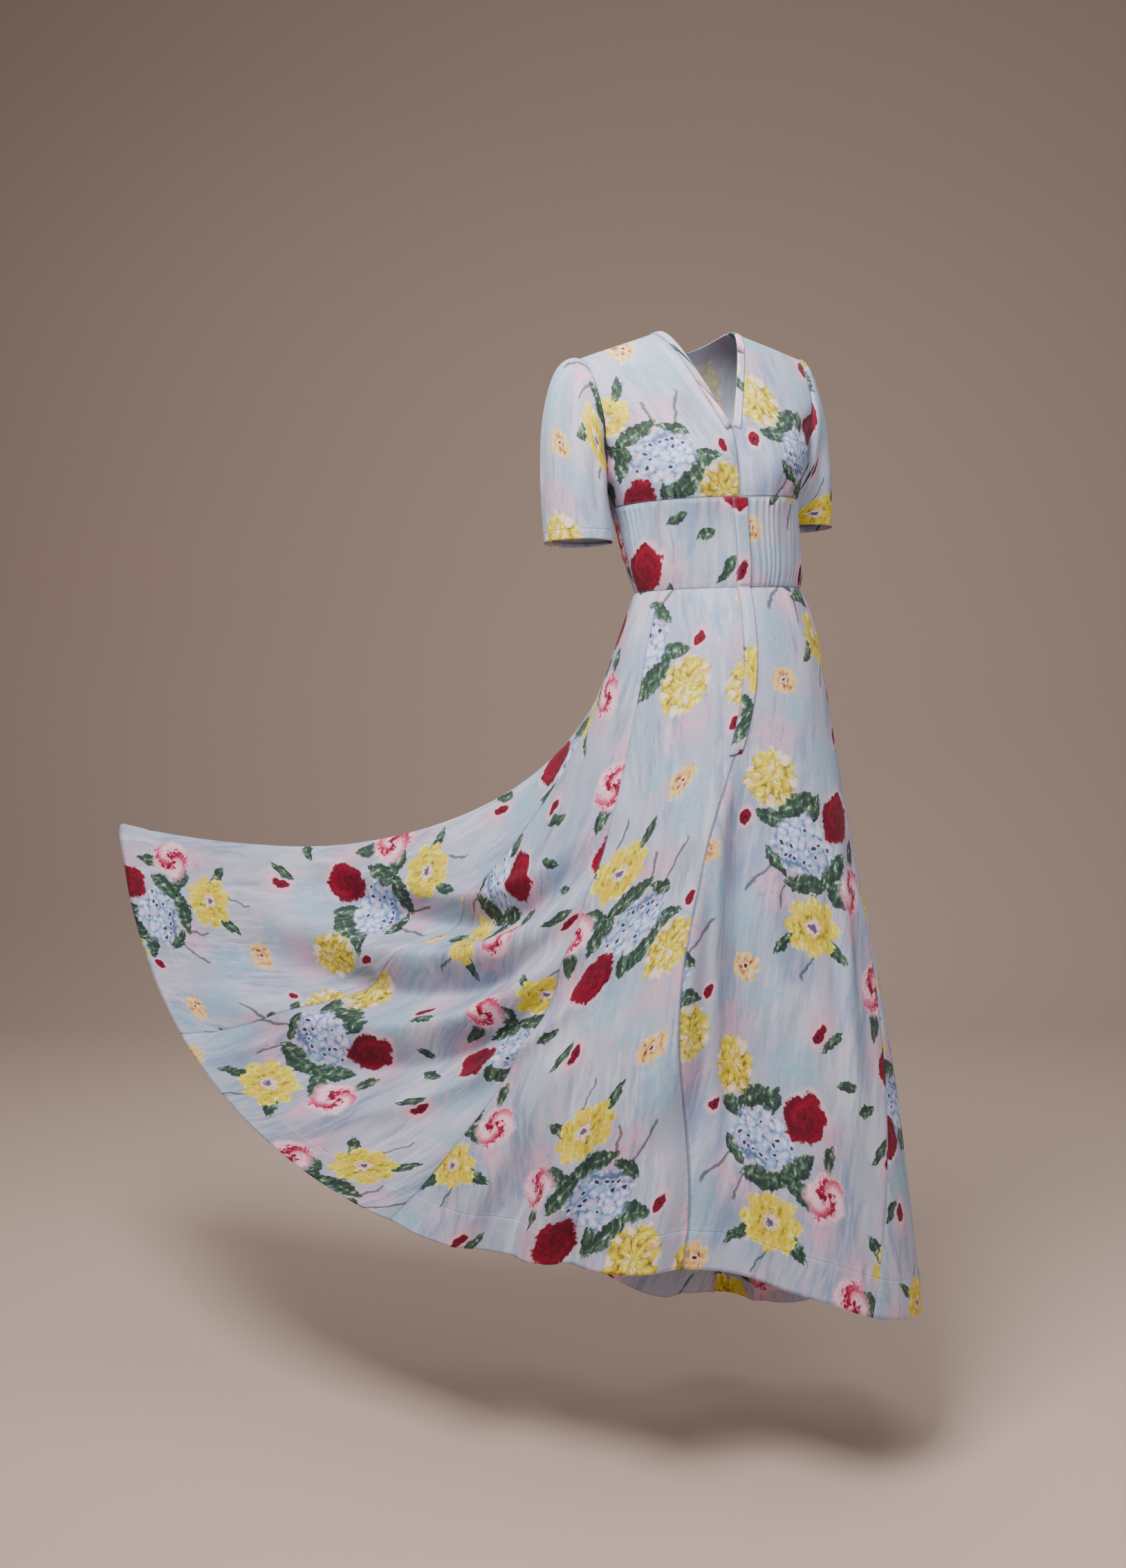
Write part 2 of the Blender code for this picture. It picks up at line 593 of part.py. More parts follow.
def skirt_wall(share, fall, cloth, out=0.0):
    """The two grids of a piece on the skirt."""
    step = 5e-4
    across = skirt(share + step, fall) - skirt(share - step, fall)
    down = skirt(share, fall + step) - skirt(share, fall - step)
    normal = np.cross(across, down)
    normal /= np.linalg.norm(normal, axis=-1, keepdims=True)
    outer = skirt(share, fall) + normal * out
    return outer, outer - normal * cloth[..., None]


def skirt_rows():
    """The rows of the skirt, closest where its folds are deepest."""
    knots = np.cumsum(column(SKIRT_ROWS, 1))
    return np.interp(np.arange(knots[-1] + 1), knots, column(SKIRT_ROWS, 0))


def skirt_gore(name, columns, start, end):
    fall = skirt_rows()[:, None]
    first, last = (seam[1] + (seam[0] - seam[1]) * (1 - fall) for seam in (start, end))
    share = first + (last - first) * np.linspace(0, 1, columns + 1)
    fall = fall + 0 * share
    cloth = CLOTH + TURNED_HEM * (fall > HEM_TURN)
    outer, inner = skirt_wall(share, fall, cloth)
    outer, inner = sewn_edges(outer, inner, ("start", "end"), FOLDED_GAP)
    outer, inner = sewn_edges(outer, inner, ("top",))
    add_wall(name, outer, inner, "skirt")


def front_lap():
    """The strip of the right front that laps over the opening, from the underbust seam to below the hips."""
    across = np.array([1.0, 0.0, -1.0]) * LAP_HALF
    drops = np.linspace(UNDERBUST, WAIST, MIDRIFF_ROWS + 1)[:-1]
    bearings = np.arcsin(-across / down_table(TRUNK, 1, drops)[:, None])
    roots = np.sqrt(drops)[:, None] + 0 * across
    lift = LAP_LIFT + BAND_CLOTH
    upper = trunk_wall(bearings, roots, (), BAND_CLOTH, lift + GATHERS["right"]["height"])
    fall = skirt_rows()
    fall = fall[fall < LAP_FOOT][:, None]
    step = 0.005
    width = np.linalg.norm(skirt(step + 0 * fall, fall) - skirt(-step + 0 * fall, fall), axis=-1)
    share = across * 2 * step / width
    fall = fall + 0 * share
    lower = skirt_wall(share, fall, BAND_CLOTH + 0 * share, lift)
    outer, inner = (np.concatenate([a, b]) for a, b in zip(upper, lower))
    outer, inner = sewn_edges(outer, inner, ("top",))
    add_wall("front_lap", outer[:, ::-1], inner[:, ::-1], "front")


for old in list(bpy.data.objects):
    bpy.data.objects.remove(old)
gown = bpy.data.collections.new("hostess_gown")
bpy.context.scene.collection.children.link(gown)

for side_name, side_sign in (("right", -1), ("left", 1)):
    bodice_front("bodice_front_" + side_name, side_sign)
    midriff_front("midriff_front_" + side_name, side_sign, GATHERS[side_name])
for row in SLEEVES:
    sleeve(*row)
bodice_back()
neck_band()
front_lap()
for (gore_name, gore_columns), *seams in zip(GORES, SKIRT_SEAMS, SKIRT_SEAMS[1:]):
    skirt_gore(gore_name, gore_columns, *seams)
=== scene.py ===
"""The hostess gown as cloth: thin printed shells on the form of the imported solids, with folds and seams.

Metres, +Z up, in the frame of the solids: the gown faces -Y, +X is the wearer's left, and the origin is the
middle of the neck opening. Every shell carries its flat pattern in metres as its UV map, so the print is cut
at the seams as on the real cloth and keeps its size. Tables are written in finer units, and in_units turns
them into metres and shares of one.
"""

import math

import bmesh
import bpy
import numpy as np
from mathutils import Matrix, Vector


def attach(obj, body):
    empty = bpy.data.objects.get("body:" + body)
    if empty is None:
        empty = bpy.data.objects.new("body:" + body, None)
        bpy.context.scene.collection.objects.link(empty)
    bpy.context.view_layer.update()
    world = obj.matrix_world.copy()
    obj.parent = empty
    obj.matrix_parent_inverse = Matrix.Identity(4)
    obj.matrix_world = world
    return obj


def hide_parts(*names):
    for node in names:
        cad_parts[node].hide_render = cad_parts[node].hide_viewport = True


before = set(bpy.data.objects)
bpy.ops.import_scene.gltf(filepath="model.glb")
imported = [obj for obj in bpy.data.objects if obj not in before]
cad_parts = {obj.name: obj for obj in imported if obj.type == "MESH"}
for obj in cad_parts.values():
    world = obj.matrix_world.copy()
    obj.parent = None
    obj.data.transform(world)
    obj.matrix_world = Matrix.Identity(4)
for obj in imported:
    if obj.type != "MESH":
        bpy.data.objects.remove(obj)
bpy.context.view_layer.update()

# Drops below the side neck points
NECK_V = 0.148
BACK_NECK = 0.020
UNDERARM = 0.195
UNDERBUST = 0.241
WAIST = 0.358

NECK_HALF = 0.056
SHOULDER_HALF = 0.176
SHOULDER_DROP = 0.036
SHOULDER_FADE = (0.05, 0.20)

BUST_OUT = 0.020
BUST_HALF_APART = 0.070
BUST_DROP = 0.192
BUST_WIDE = 0.045
BUST_TALL = 0.040
BUST_FADE = 0.6

SLEEVES = (
    # name, side, left, back, drop, spring
    ("sleeve_right", -1, -0.181, 0.000, 0.298, 0.195),
    ("sleeve_left", 1, 0.187, 0.020, 0.258, 0.095),
)
SLEEVE_HEM_HALF = (0.044, 0.058)
SLEEVE_HEM = 0.013
CAP_FADE = 1.3
CAP_RISE = 0.012
SIDE_SPRING = 0.012
SIDE_ROUND = 0.030
UNDER_FALL = 0.13
SLEEVE_DROP_END = 0.95
SLEEVE_GAP = 0.0004
SLEEVE_GIRTH = 0.34
SLEEVE_LENGTH = 0.25

NECK_BAND_WIDE = 0.012
BAND_HEIGHT = 0.0017
BAND_SUNK = 0.0002
LAP_HALF = 0.010
LAP_HEIGHT = 0.0019
LAP_EDGE = 0.0003         # height of the lap at its edges
LAP_LIFT = 0.0009         # so much higher above the waist, over the midriff's gathers
LAP_FOOT = 0.245
LAP_STITCH = 0.0016       # from the lap's stitched side to its line of stitches
LAP_GROOVE = (0.0006, 0.0008)

WAIST_FLARE = 0.065
HIP_SWELL = 0.011
HIP_AT = 0.11
SKIRT_HEM = 0.050
SKIRT_ROWS = 176
HEM_LIFT = 0.0010         # the hem is thicker by so much
PUCKER = 0.0012
PUCKER_REACH = 0.014

# Cloth
SHELL = 0.0007            # thickness of one layer
ROLL = 0.0009             # how deep a seam lies in the cloth
ROLL_WIDE = 0.0030
ALLOWANCE = 0.0035        # the strip that turns in at a seam
HEM_BACK = 0.0019         # how far behind the cloth its turned hem lies
SEAM_REACH = 0.05         # distances to a seam are told up to here
FAR = 1.0                 # stands for the distance to a seam or a line of stitches that isn't there

# Soft waves of the cloth: length, height
TRUNK_WAVE = (0.11, 0.0006)
SLEEVE_WAVE = (0.10, 0.0007)
SKIRT_WAVE = (0.12, 0.0011)
SKIRT_WAVE_DOWN = 0.45    # the skirt's waves are stretched downward: they change so much more slowly

# Steps along the surfaces, from which their normals are worked out
TRUNK_STEP = 1e-4
BASE_STEP = 1e-3
SKIRT_STEP = 5e-4

# How much longer or wider the flat cloth is than its place on the figure
BODICE_LONG = 1.06
BACK_LONG = 1.05
MIDRIFF_WIDE = 1.08
TRUNK_GIRTH = 0.140       # metres of cloth for a radian round the trunk

MM = 1000
PER_MILLE = 1000
PER_CENT = 100


def in_units(units, *rows):
    return np.array(rows, float) / units


TRUNK = in_units(
    (MM, MM, MM, MM, 1),
    # drop, half width, front, back, squareness
    (0, 215, 0, 0, 2.5),
    (10, 215, 27, 31, 2.5),
    (30, 214, 47, 51, 2.5),
    (60, 208, 66, 70, 2.5),
    (100, 190, 84, 87, 2.4),
    (150, 166, 99, 96, 2.3),
    (195, 151, 106, 96, 2.2),
    (241, 134, 106, 90, 2.1),
    (300, 129, 99, 83, 2.0),
    (335, 125, 93, 80, 2.0),
    (358, 119, 88, 78, 2.0),
    (420, 132, 98, 96, 2.0),
)
ARMHOLE = in_units(
    (MM, MM),
    # drop, from the middle
    (0, 176), (4, 174), (14, 172), (30, 170), (52, 168), (76, 166),
    (100, 164), (124, 161), (146, 158), (165, 155), (181, 152), (UNDERARM * MM, 151),
)
POSE = in_units(
    (MM, MM, MM, 1, 1),
    # drop, shift to the left, shift back, tilt in degrees, turn in degrees
    (0, -5, 0, 5.5, 0),
    (150, -4, -5, 5.0, 1),
    (241, 2, -17, 3.6, 4),
    (358, 16, -34, 2.4, 8),
    (420, 18, -40, 1.8, 12),
)
STATIONS = in_units(
    (PER_MILLE, MM, MM, MM, MM, PER_CENT, MM),
    # share, left, back, drop, fall, carry, sag
    (0, -121, -186, 1248, 300, 62, -300),
    (40, -230, -110, 1252, 320, 58, -270),
    (80, -325, -25, 1248, 360, 54, -200),
    (120, -425, 78, 1222, 400, 50, -120),
    (160, -507, 181, 1181, 420, 48, -60),
    (205, -585, 290, 1112, 420, 46, 0),
    (250, -645, 410, 1020, 400, 44, 40),
    (295, -680, 515, 915, 370, 42, 60),
    (340, -700, 590, 790, 330, 40, 80),
    (372, -697, 640, 712, 300, 40, 85),
    (410, -590, 640, 850, 320, 42, 40),
    (470, -410, 510, 1070, 360, 46, -80),
    (540, -210, 330, 1270, 340, 50, -200),
    (610, -50, 175, 1395, 300, 56, -320),
    (680, 85, 112, 1435, 300, 62, -360),
    (740, 190, 62, 1437, 300, 66, -360),
    (795, 272, -20, 1422, 300, 70, -360),
    (845, 304, -125, 1398, 300, 78, -360),
    (885, 242, -225, 1352, 300, 80, -350),
    (925, 120, -282, 1316, 300, 72, -330),
    (965, 0, -250, 1268, 300, 64, -310),
)
SWAY = 0.030
SWAY_HALF = 0.042
SWAY_FALLS = (0.10, 0.40, 0.48, 0.95)
PAST_HEM = (120, 150)


def folds_down(*rows):
    """Folds of the skirt. Those without the last two numbers run down to the hem."""
    units = (PER_MILLE,) * 4 + (MM,) + (PER_CENT,) * 4
    return in_units(units, *((*row, *PAST_HEM)[: len(units)] for row in rows))


FOLDS = folds_down(
    # share at a third, at two thirds, at the hem, half width as a share, depth, starts, is full, leaves, ends
    (8, -8, -24, 10, -22, 27, 46, 56, 86),
    (16, -6, -15, 13, -32, 48, 82),
    (38, 18, 12, 11, 10, 27, 50),
    (-40, -42, -46, 12, 12, 40, 95),
    (-58, -54, -60, 10, -9, 30, 85),
    (-120, -88, -74, 10, -7, 20, 60),
    (60, 42, 30, 13, 12, 40, 90),
    (-60, -5, 52, 14, -18, 58, 88),
    (90, 74, 64, 10, 16, 60, 92),
    (105, 92, 80, 10, -24, 60, 92),
    (125, 118, 108, 14, 12, 45, 85),
    (10, 140, 180, 18, -14, 42, 62, 68, 92),
    (60, 196, 215, 22, -36, 38, 61, 68, 94),
    (90, 230, 265, 19, 18, 36, 58, 70, 96),
    (120, 262, 305, 22, -36, 34, 58, 68, 94),
    (155, 292, 325, 18, 18, 28, 50, 70, 96),
    (185, 318, 335, 20, -28, 24, 46, 62, 84),
    (450, 435, 430, 20, -14, 30, 60, 80, 110),
    (490, 480, 475, 22, 22, 30, 70),
    (540, 535, 530, 22, -28, 30, 75),
    (590, 588, 585, 22, 22, 30, 80),
    (640, 640, 640, 22, -26, 30, 80),
    (695, 695, 695, 20, 20, 35, 85),
    (745, 745, 745, 18, -18, 35, 85),
    (800, 800, 800, 20, 14, 40, 90),
    (865, 868, 870, 16, -10, 40, 90),
)

# The finer creases of the skirt, too narrow for the solids, in the same columns
CREASES = folds_down(
    (28, 8, 2, 4.5, -5, 40, 60, 95, 140),
    (8, -8, -22, 3, -8, 27, 40, 72, 92),
    (18, 1, -12, 3.8, 3, 30, 44, 76, 96),
    (-22, -28, -32, 4.5, 3, 34, 50, 90, 130),
    (-75, -70, -66, 6, -3.5, 30, 55, 80, 110),
    (-98, -74, -64, 5, 3, 25, 60),
    (70, 54, 46, 4.5, -6, 62, 85),
    (80, 84, 72, 4, -5, 70, 90),
    (112, 104, 94, 4, 5, 68, 92),
    (135, 130, 120, 5, -5, 60, 80, 100, 140),
    (35, 168, 198, 9, 7, 45, 62, 72, 98),
    (75, 208, 232, 8, -8.5, 42, 60, 70, 90),
    (105, 240, 276, 8, 7, 40, 56, 74, 98),
    (135, 273, 312, 8, -8.5, 36, 52, 66, 90),
    (168, 302, 330, 7.5, 6.5, 30, 46, 60, 86),
    (203, 330, 345, 8, -7.5, 26, 44, 56, 80),
    (230, 345, 352, 6, 3.5, 24, 42, 60, 84),
    (420, 412, 408, 6, -4, 30, 50, 70, 100),
    (468, 458, 450, 6, 4, 36, 60, 90, 130),
    (515, 508, 500, 6, -5, 40, 65),
    (565, 562, 556, 5.5, 4.5, 42, 70),
    (615, 614, 612, 5.5, -4, 38, 72),
    (668, 667, 664, 5.5, 4, 45, 75),
    (720, 720, 721, 5, -4.5, 45, 72),
    (772, 773, 775, 5, 3.5, 42, 75),
    (832, 836, 842, 5, -3.5, 45, 80),
)
CREASE_DEPTH = 2.2        # the creases are so many times as deep as their rows say

# Soft folds that start at the waist seam
WAIST_FOLDS = in_units(
    (PER_MILLE, PER_MILLE, MM, PER_CENT),
    # share, half width as a share, depth, ends
    (25, 10, 1.6, 16), (62, 12, -1.6, 22), (110, 10, 1.8, 18), (150, 11, -1.4, 24), (215, 12, 1.8, 20),
    (270, 11, -1.8, 18), (330, 12, 1.6, 22), (395, 12, -1.8, 20), (450, 11, 1.6, 24), (520, 12, -1.8, 18),
    (585, 12, 1.6, 22), (640, 11, -1.6, 20), (705, 12, 1.8, 24), (760, 11, -1.6, 18), (815, 10, 1.4, 22),
    (865, 9, -1.6, 24), (905, 9, 1.4, 20), (945, 9, -1.4, 24), (975, 8, 1.2, 18),
)
WAIST_FOLD_STARTS = (0.0, 0.04, 0.05)

# Drape of the bodice and the midriff: folds from one place to another, as bearing in degrees (0 at the centre
# front, the wearer's left positive) and drop
BODICE_FOLDS = in_units(
    (1, MM, 1, MM, MM, MM),
    # bearing, drop, to bearing, to drop, half width, depth
    (-62, 85, -40, 165, 7.5, -2.6), (-72, 120, -50, 190, 6.5, 2.2), (-80, 165, -52, 215, 6, -2.4),
    (-38, 205, -34, 241, 5, 1.8), (-28, 208, -27, 241, 4.5, -1.8), (-20, 212, -21, 241, 4.5, 1.6),
    (-12, 100, -22, 170, 7, -1.6), (-30, 20, -20, 95, 9, 1.6), (60, 85, 40, 165, 7.5, -2.4),
    (72, 125, 52, 190, 6.5, 2), (80, 168, 54, 215, 6, -2.2), (37, 206, 34, 241, 5, 1.8),
    (26, 210, 26, 241, 4.5, -1.8), (12, 110, 20, 175, 7, -1.4), (118, 110, 150, 185, 8, -2.4),
    (108, 160, 140, 225, 7.5, 2.2), (-118, 110, -150, 190, 8, -2.4), (-108, 165, -140, 230, 7.5, 2.2),
    (165, 40, 172, 150, 10, -1.8), (-165, 40, -172, 150, 10, -1.8), (120, 300, 168, 335, 7, -2),
    (-122, 305, -170, 340, 7, -2), (150, 315, 179, 352, 6, 1.6), (-95, 290, -125, 330, 6, 1.6),
)

# Folds of the sleeves: along their length, as turns round from the shoulder tip by the front, and shares down
SLEEVE_FOLDS = in_units(
    (PER_CENT, PER_CENT, PER_CENT, PER_CENT, MM, MM),
    # turn, down, to turn, to down, half width, depth
    (6, 30, 10, 95, 8, -2.2), (16, 22, 19, 80, 7.5, 2), (27, 30, 25, 92, 7, -2.6), (36, 15, 31, 60, 7, 2.2),
    (42, 18, 37, 72, 6, -2.4), (93, 30, 90, 95, 8, 2.2), (84, 24, 81, 85, 7.5, -2.4),
    (73, 30, 75, 92, 7, 2.2), (64, 16, 69, 65, 7, -2.4), (58, 18, 63, 76, 6, 2),
)

SKIRT_SEAMS = in_units(
    (PER_MILLE, PER_MILLE),
    # at the waist, at the hem
    (0, 0), (167, 122), (333, 253), (500, 460), (667, 690), (833, 926), (1000, 1000),
)
GORES = (
    # name, columns of faces, edges beside the centre front and the waist that get a dark line of painted
    # shade
    ("skirt_front_right", 84, ("start",)),
    ("skirt_side_right", 92, ()),
    ("skirt_back_right", 96, ()),
    ("skirt_back_left", 84, ()),
    ("skirt_side_left", 84, ()),
    ("skirt_front_left", 72, ("end", "top")),
)
GATHERS = {
    # number, height, share of the way down where they fade, height left below as a share
    "right": (12, 0.0024, 0.60, 0.0),
    "left": (20, 0.0028, 0.45, 0.50),
}

PIECES = {
    # the print: one of its bouquets, upright or turned, how far right of the flat pattern's middle and down
    # from its top, and a turn in degrees; then the cloth that shows, laid flat: width, length, area
    "bodice_front_right": ("turned", -0.112, 0.195, 22, 0.20, 0.25, 0.040),
    "bodice_front_left": ("upright", 0.116, 0.190, 4, 0.20, 0.25, 0.040),
    "bodice_back": ("upright", 0.000, 0.150, 0, 0.42, 0.37, 0.115),
    "neck_band": ("upright", 0.000, 0.195, 90, 0.012, 0.52, 0.006),
    "midriff_front_right": ("upright", -0.206, 0.375, 0, 0.24, 0.12, 0.020),
    "midriff_front_left": ("upright", 0.060, 0.500, -2, 0.26, 0.12, 0.021),
    "front_lap": ("upright", -0.206, 0.375, 0, 0.020, 0.34, 0.006),
    "sleeve_right": ("upright", 0.086, 0.348, 0, 0.40, 0.25, 0.060),
    "sleeve_left": ("turned", -0.060, 0.330, 0, 0.40, 0.23, 0.055),
    "skirt_front_right": ("turned", -0.007, 0.453, 11, 0.52, 0.95, 0.240),
    "skirt_side_right": ("upright", -0.112, 0.495, -2, 0.56, 1.02, 0.300),
    "skirt_back_right": ("turned", 0.124, 0.618, 0, 0.62, 1.05, 0.420),
    "skirt_back_left": ("turned", -0.050, 0.300, 2, 0.60, 1.10, 0.400),
    "skirt_side_left": ("upright", 0.020, 0.180, -1, 0.60, 1.10, 0.330),
    "skirt_front_left": ("upright", -0.007, 0.355, -8, 0.46, 0.98, 0.250),
}


def smooth_step(value, start, end):
    share = np.clip((value - start) / (end - start), 0.0, 1.0)
    return share * share * (3 - 2 * share)


def there_and_back(value, starts, full, leaves, ends):
    return smooth_step(value, starts, full) * (1 - smooth_step(value, leaves, ends))


def bell(distance, width):
    return np.exp(-0.5 * (distance / width) ** 2)


def shortest(share):
    """The shorter way round for a share of a turn."""
    return (share + 0.5) % 1.0 - 0.5


def unit(vectors):
    return vectors / np.maximum(np.linalg.norm(vectors, axis=-1, keepdims=True), 1e-15)


def surface_normal(surface, u, v, step):
    along_u = surface(u + step, v) - surface(u - step, v)
    along_v = surface(u, v + step) - surface(u, v - step)
    return unit(np.cross(along_u, along_v))


def hermite(knots, values, slopes, where):
    span = np.clip(np.searchsorted(knots, where, side="right") - 1, 0, len(knots) - 2)
    width = knots[span + 1] - knots[span]
    t = (where - knots[span]) / width
    return ease(t, values[span], slopes[span] * width, values[span + 1], slopes[span + 1] * width)


def ease(t, start, rise_start, end, rise_end):
    """A cubic from start to end that leaves and arrives with the given rises."""
    return (
        start * (2 * t**3 - 3 * t**2 + 1)
        + rise_start * (t**3 - 2 * t**2 + t)
        + end * (3 * t**2 - 2 * t**3)
        + rise_end * (t**3 - t**2)
    )


def down_table(table, index, drop):
    knots, values = np.sqrt(table[:, 0]), table[:, index]
    where = np.sqrt(np.clip(drop, 0.0, table[-1, 0]))
    return hermite(knots, values, np.gradient(values, knots), where)


def round_table(table, index, share):
    knots, values = table[:, 0], table[:, index]
    knots = np.concatenate([knots[-2:] - 1, knots, knots[:2] + 1])
    values = np.concatenate([values[-2:], values, values[:2]])
    return hermite(knots, values, np.gradient(values, knots), np.mod(share, 1.0))


def power(value, exponent):
    return np.sign(value) * np.abs(value) ** exponent


def posed(points):
    """Points of the upright figure, moved as the wearer stands."""
    drop = np.clip(-points[..., 2], 0.0, POSE[-1, 0])
    left, back, tilt, turn = (down_table(POSE, index, drop) for index in range(1, 5))
    tilt, turn = np.radians(tilt), np.radians(turn)
    x = points[..., 0] * np.cos(turn) + points[..., 1] * np.sin(turn)
    y = points[..., 1] * np.cos(turn) - points[..., 0] * np.sin(turn)
    return np.stack([x + left, y + back, points[..., 2] + x * np.tan(tilt)], axis=-1)


def trunk(bearing, root):
    """The trunk's surface by bearing, 0 at the centre front, and the root of the drop."""
    drop = root * root
    half, front, back, squareness = (down_table(TRUNK, index, drop) for index in range(1, 5))
    exponent = 2 / squareness
    x = half * power(np.sin(bearing), exponent)
    y = -np.where(np.cos(bearing) > 0, front, back) * power(np.cos(bearing), exponent)
    slope = np.clip((np.abs(x) - NECK_HALF) / (SHOULDER_HALF - NECK_HALF), 0.0, 1.0)
    z = -drop - SHOULDER_DROP * slope * (1 - smooth_step(drop, *SHOULDER_FADE))
    swell = bell(np.abs(x) - BUST_HALF_APART, BUST_WIDE) * bell(z + BUST_DROP, BUST_TALL)
    y = y - BUST_OUT * swell * smooth_step(np.cos(bearing), 0.0, BUST_FADE)
    return np.stack([x, y, z], axis=-1)


def bearing_of(from_middle, drop):
    half, squareness = down_table(TRUNK, 1, drop), down_table(TRUNK, 4, drop)
    return np.arcsin(power(np.clip(from_middle / half, -1.0, 1.0), squareness / 2))


def neckline(drop):
    return NECK_HALF * np.clip(1 - drop / NECK_V, 0.0, 1.0)


def armhole_edge(drop):
    from_middle = np.interp(drop, ARMHOLE[:, 0], ARMHOLE[:, 1])
    return np.where(drop >= UNDERARM - 1e-6, math.pi / 2, bearing_of(from_middle, drop))


def skirt_base(share, fall):
    """The skirt without its folds: curves from the waist seam to the stations round the hem."""
    bearing = -2 * math.pi * share
    waist = posed(trunk(bearing, np.sqrt(WAIST) + 0 * bearing))
    left, back, drop, straight, carry, sag = (round_table(STATIONS, index, share) for index in range(1, 7))
    hem = np.stack([left, back, -drop], axis=-1)
    outward = waist - posed(np.array([0.0, 0.0, -WAIST]))
    outward[..., 2] = 0
    outward = unit(outward)
    first = waist + outward * WAIST_FLARE
    first[..., 2] -= straight
    second = first + (hem - first) * carry[..., None]
    second[..., 2] = hem[..., 2] - sag
    t = fall[..., None]
    hips = outward * HIP_SWELL * t / HIP_AT * np.exp(1 - t / HIP_AT)
    upper = waist * (1 - t) ** 3 + first * 3 * t * (1 - t) ** 2
    return hips + upper + second * 3 * t * t * (1 - t) + hem * t**3


def fold_height(folds, share, fall):
    height = np.zeros(np.broadcast(share, fall).shape)
    for third, two_thirds, foot, wide, depth, *falls in folds:
        rise = 3 * (1 - fall)
        bend = (third - 2 * two_thirds + foot) / 2
        line = foot + (two_thirds - foot - bend) * rise + bend * rise * rise
        height = height + depth * there_and_back(fall, *falls) * bell(shortest(share - line), wide)
    return height


def skirt(share, fall):
    """The skirt's surface with its folds, at a share round from the centre front seam."""
    sway = SWAY * there_and_back(fall, *SWAY_FALLS)
    place = share + sway * bell(shortest(share), SWAY_HALF)
    fine = CREASE_DEPTH * fold_height(CREASES, place, fall)
    for middle, wide, depth, ends in WAIST_FOLDS:
        strength = there_and_back(fall, *WAIST_FOLD_STARTS, ends)
        fine = fine + depth * strength * bell(shortest(place - middle), wide)
    height = fold_height(FOLDS, place, fall) + fine
    return skirt_base(place, fall) + surface_normal(skirt_base, place, fall, BASE_STEP) * height[..., None]


def unevenness(across, down, size, height):
    """Soft, uneven waves, so that no stretch of cloth is perfectly even: size is how long they are."""
    wave = (
        np.sin(across / size * 5.1 + 1.3 * np.sin(down / size * 2.3 + 0.4))
        + 0.7 * np.sin(across / size * 8.3 - down / size * 1.9 + 2.1)
        + 0.6 * np.sin(down / size * 3.7 + 1.7 * np.sin(across / size * 2.9 + 1.1))
    )
    return height * wave / 2.3


def normals_of(points):
    down, across = np.gradient(points, axis=0), np.gradient(points, axis=1)
    return unit(np.cross(across, down))


def run_lengths(points, axis):
    """How far each point is along its row (axis 1) or column (axis 0)."""
    steps = np.linalg.norm(np.diff(points, axis=axis), axis=-1)
    zero = np.zeros_like(np.take(steps, [0], axis=axis))
    return np.concatenate([zero, np.cumsum(steps, axis=axis)], axis=axis)


def flat_pattern(points, middle):
    """The flat pattern of a grid, in metres: across from the given column and down along it."""
    across = run_lengths(points, 1)
    across = across - across[:, [middle]]
    return across, run_lengths(points, 0)[:, [middle]] + 0 * across


def denser_ends(count, near, both=True):
    """Shares from 0 to 1, even but for extra ones close to the ends, where a seam rolls in."""
    shares = np.linspace(0, 1, count + 1)
    extra = [near * k for k in (0.33, 1.0, 2.0)]
    others = [1 - k for k in extra] if both else []
    shares = shares[(shares <= 0) | (shares > near * 3)]
    if both:
        shares = shares[(shares >= 1) | (shares < 1 - near * 3)]
    return np.array(sorted([*shares, *extra, *others]))


def add_cloth(name, points, outward, pattern, sewn=(), lined=(), hem=None):
    """One piece of cloth from a grid of points and its flat pattern.

    sewn names the edges that a seam holds, and lined the edges along which a dark line of painted shade is
    drawn. hem is the height of the strip that is turned up inside at the foot.
    """
    across, down = pattern
    if (normals_of(points) * outward).sum() < 0:
        points, across, down = (grid[:, ::-1] for grid in (points, across, down))
        other = {"start": "end", "end": "start"}
        sewn, lined = ([other.get(edge, edge) for edge in edges] for edges in (sewn, lined))
    normal = normals_of(points)
    along, below = run_lengths(points, 1), run_lengths(points, 0)
    to_edge = {"start": along, "end": along[:, [-1]] - along, "top": below, "bottom": below[[-1]] - below}
    far = np.full(along.shape, FAR)
    reach = far * SEAM_REACH
    seam, line = (np.minimum.reduce([reach, *(to_edge[edge] for edge in edges)]) for edges in (sewn, lined))
    points = points - normal * (ROLL * np.exp(-((seam / ROLL_WIDE) ** 2)))[..., None]
    grids = [points, normal, across, down, seam, line, to_edge["bottom"] - hem if hem else far]

    if hem:
        count = int((to_edge["bottom"][:, points.shape[1] // 2] < hem).sum())
        up = slice(-2, -1 - count, -1)
        strip = [
            np.concatenate([points[[-1]] - normal[[-1]] * HEM_BACK / 2, points[up] - normal[up] * HEM_BACK]),
            np.concatenate([normal[[-1]], normal[up]]),
            np.concatenate([across[[-1]], across[up]]),
            np.concatenate([down[[-1]], 2 * down[[-1]] - down[up]]),
            *[np.concatenate([far[[-1]], far[up]])] * 3,
        ]
        grids = [np.concatenate(pair) for pair in zip(grids, strip)]
    for edge in sewn:
        axis = 0 if edge in ("top", "bottom") else 1
        last = edge in ("bottom", "end")
        border = [np.take(grid, [-1 if last else 0], axis=axis) for grid in grids]
        border[0] = border[0] - border[1] * ALLOWANCE
        pairs = zip(grids, border) if last else zip(border, grids)
        grids = [np.concatenate(pair, axis=axis) for pair in pairs]
    build_mesh(name, *grids)


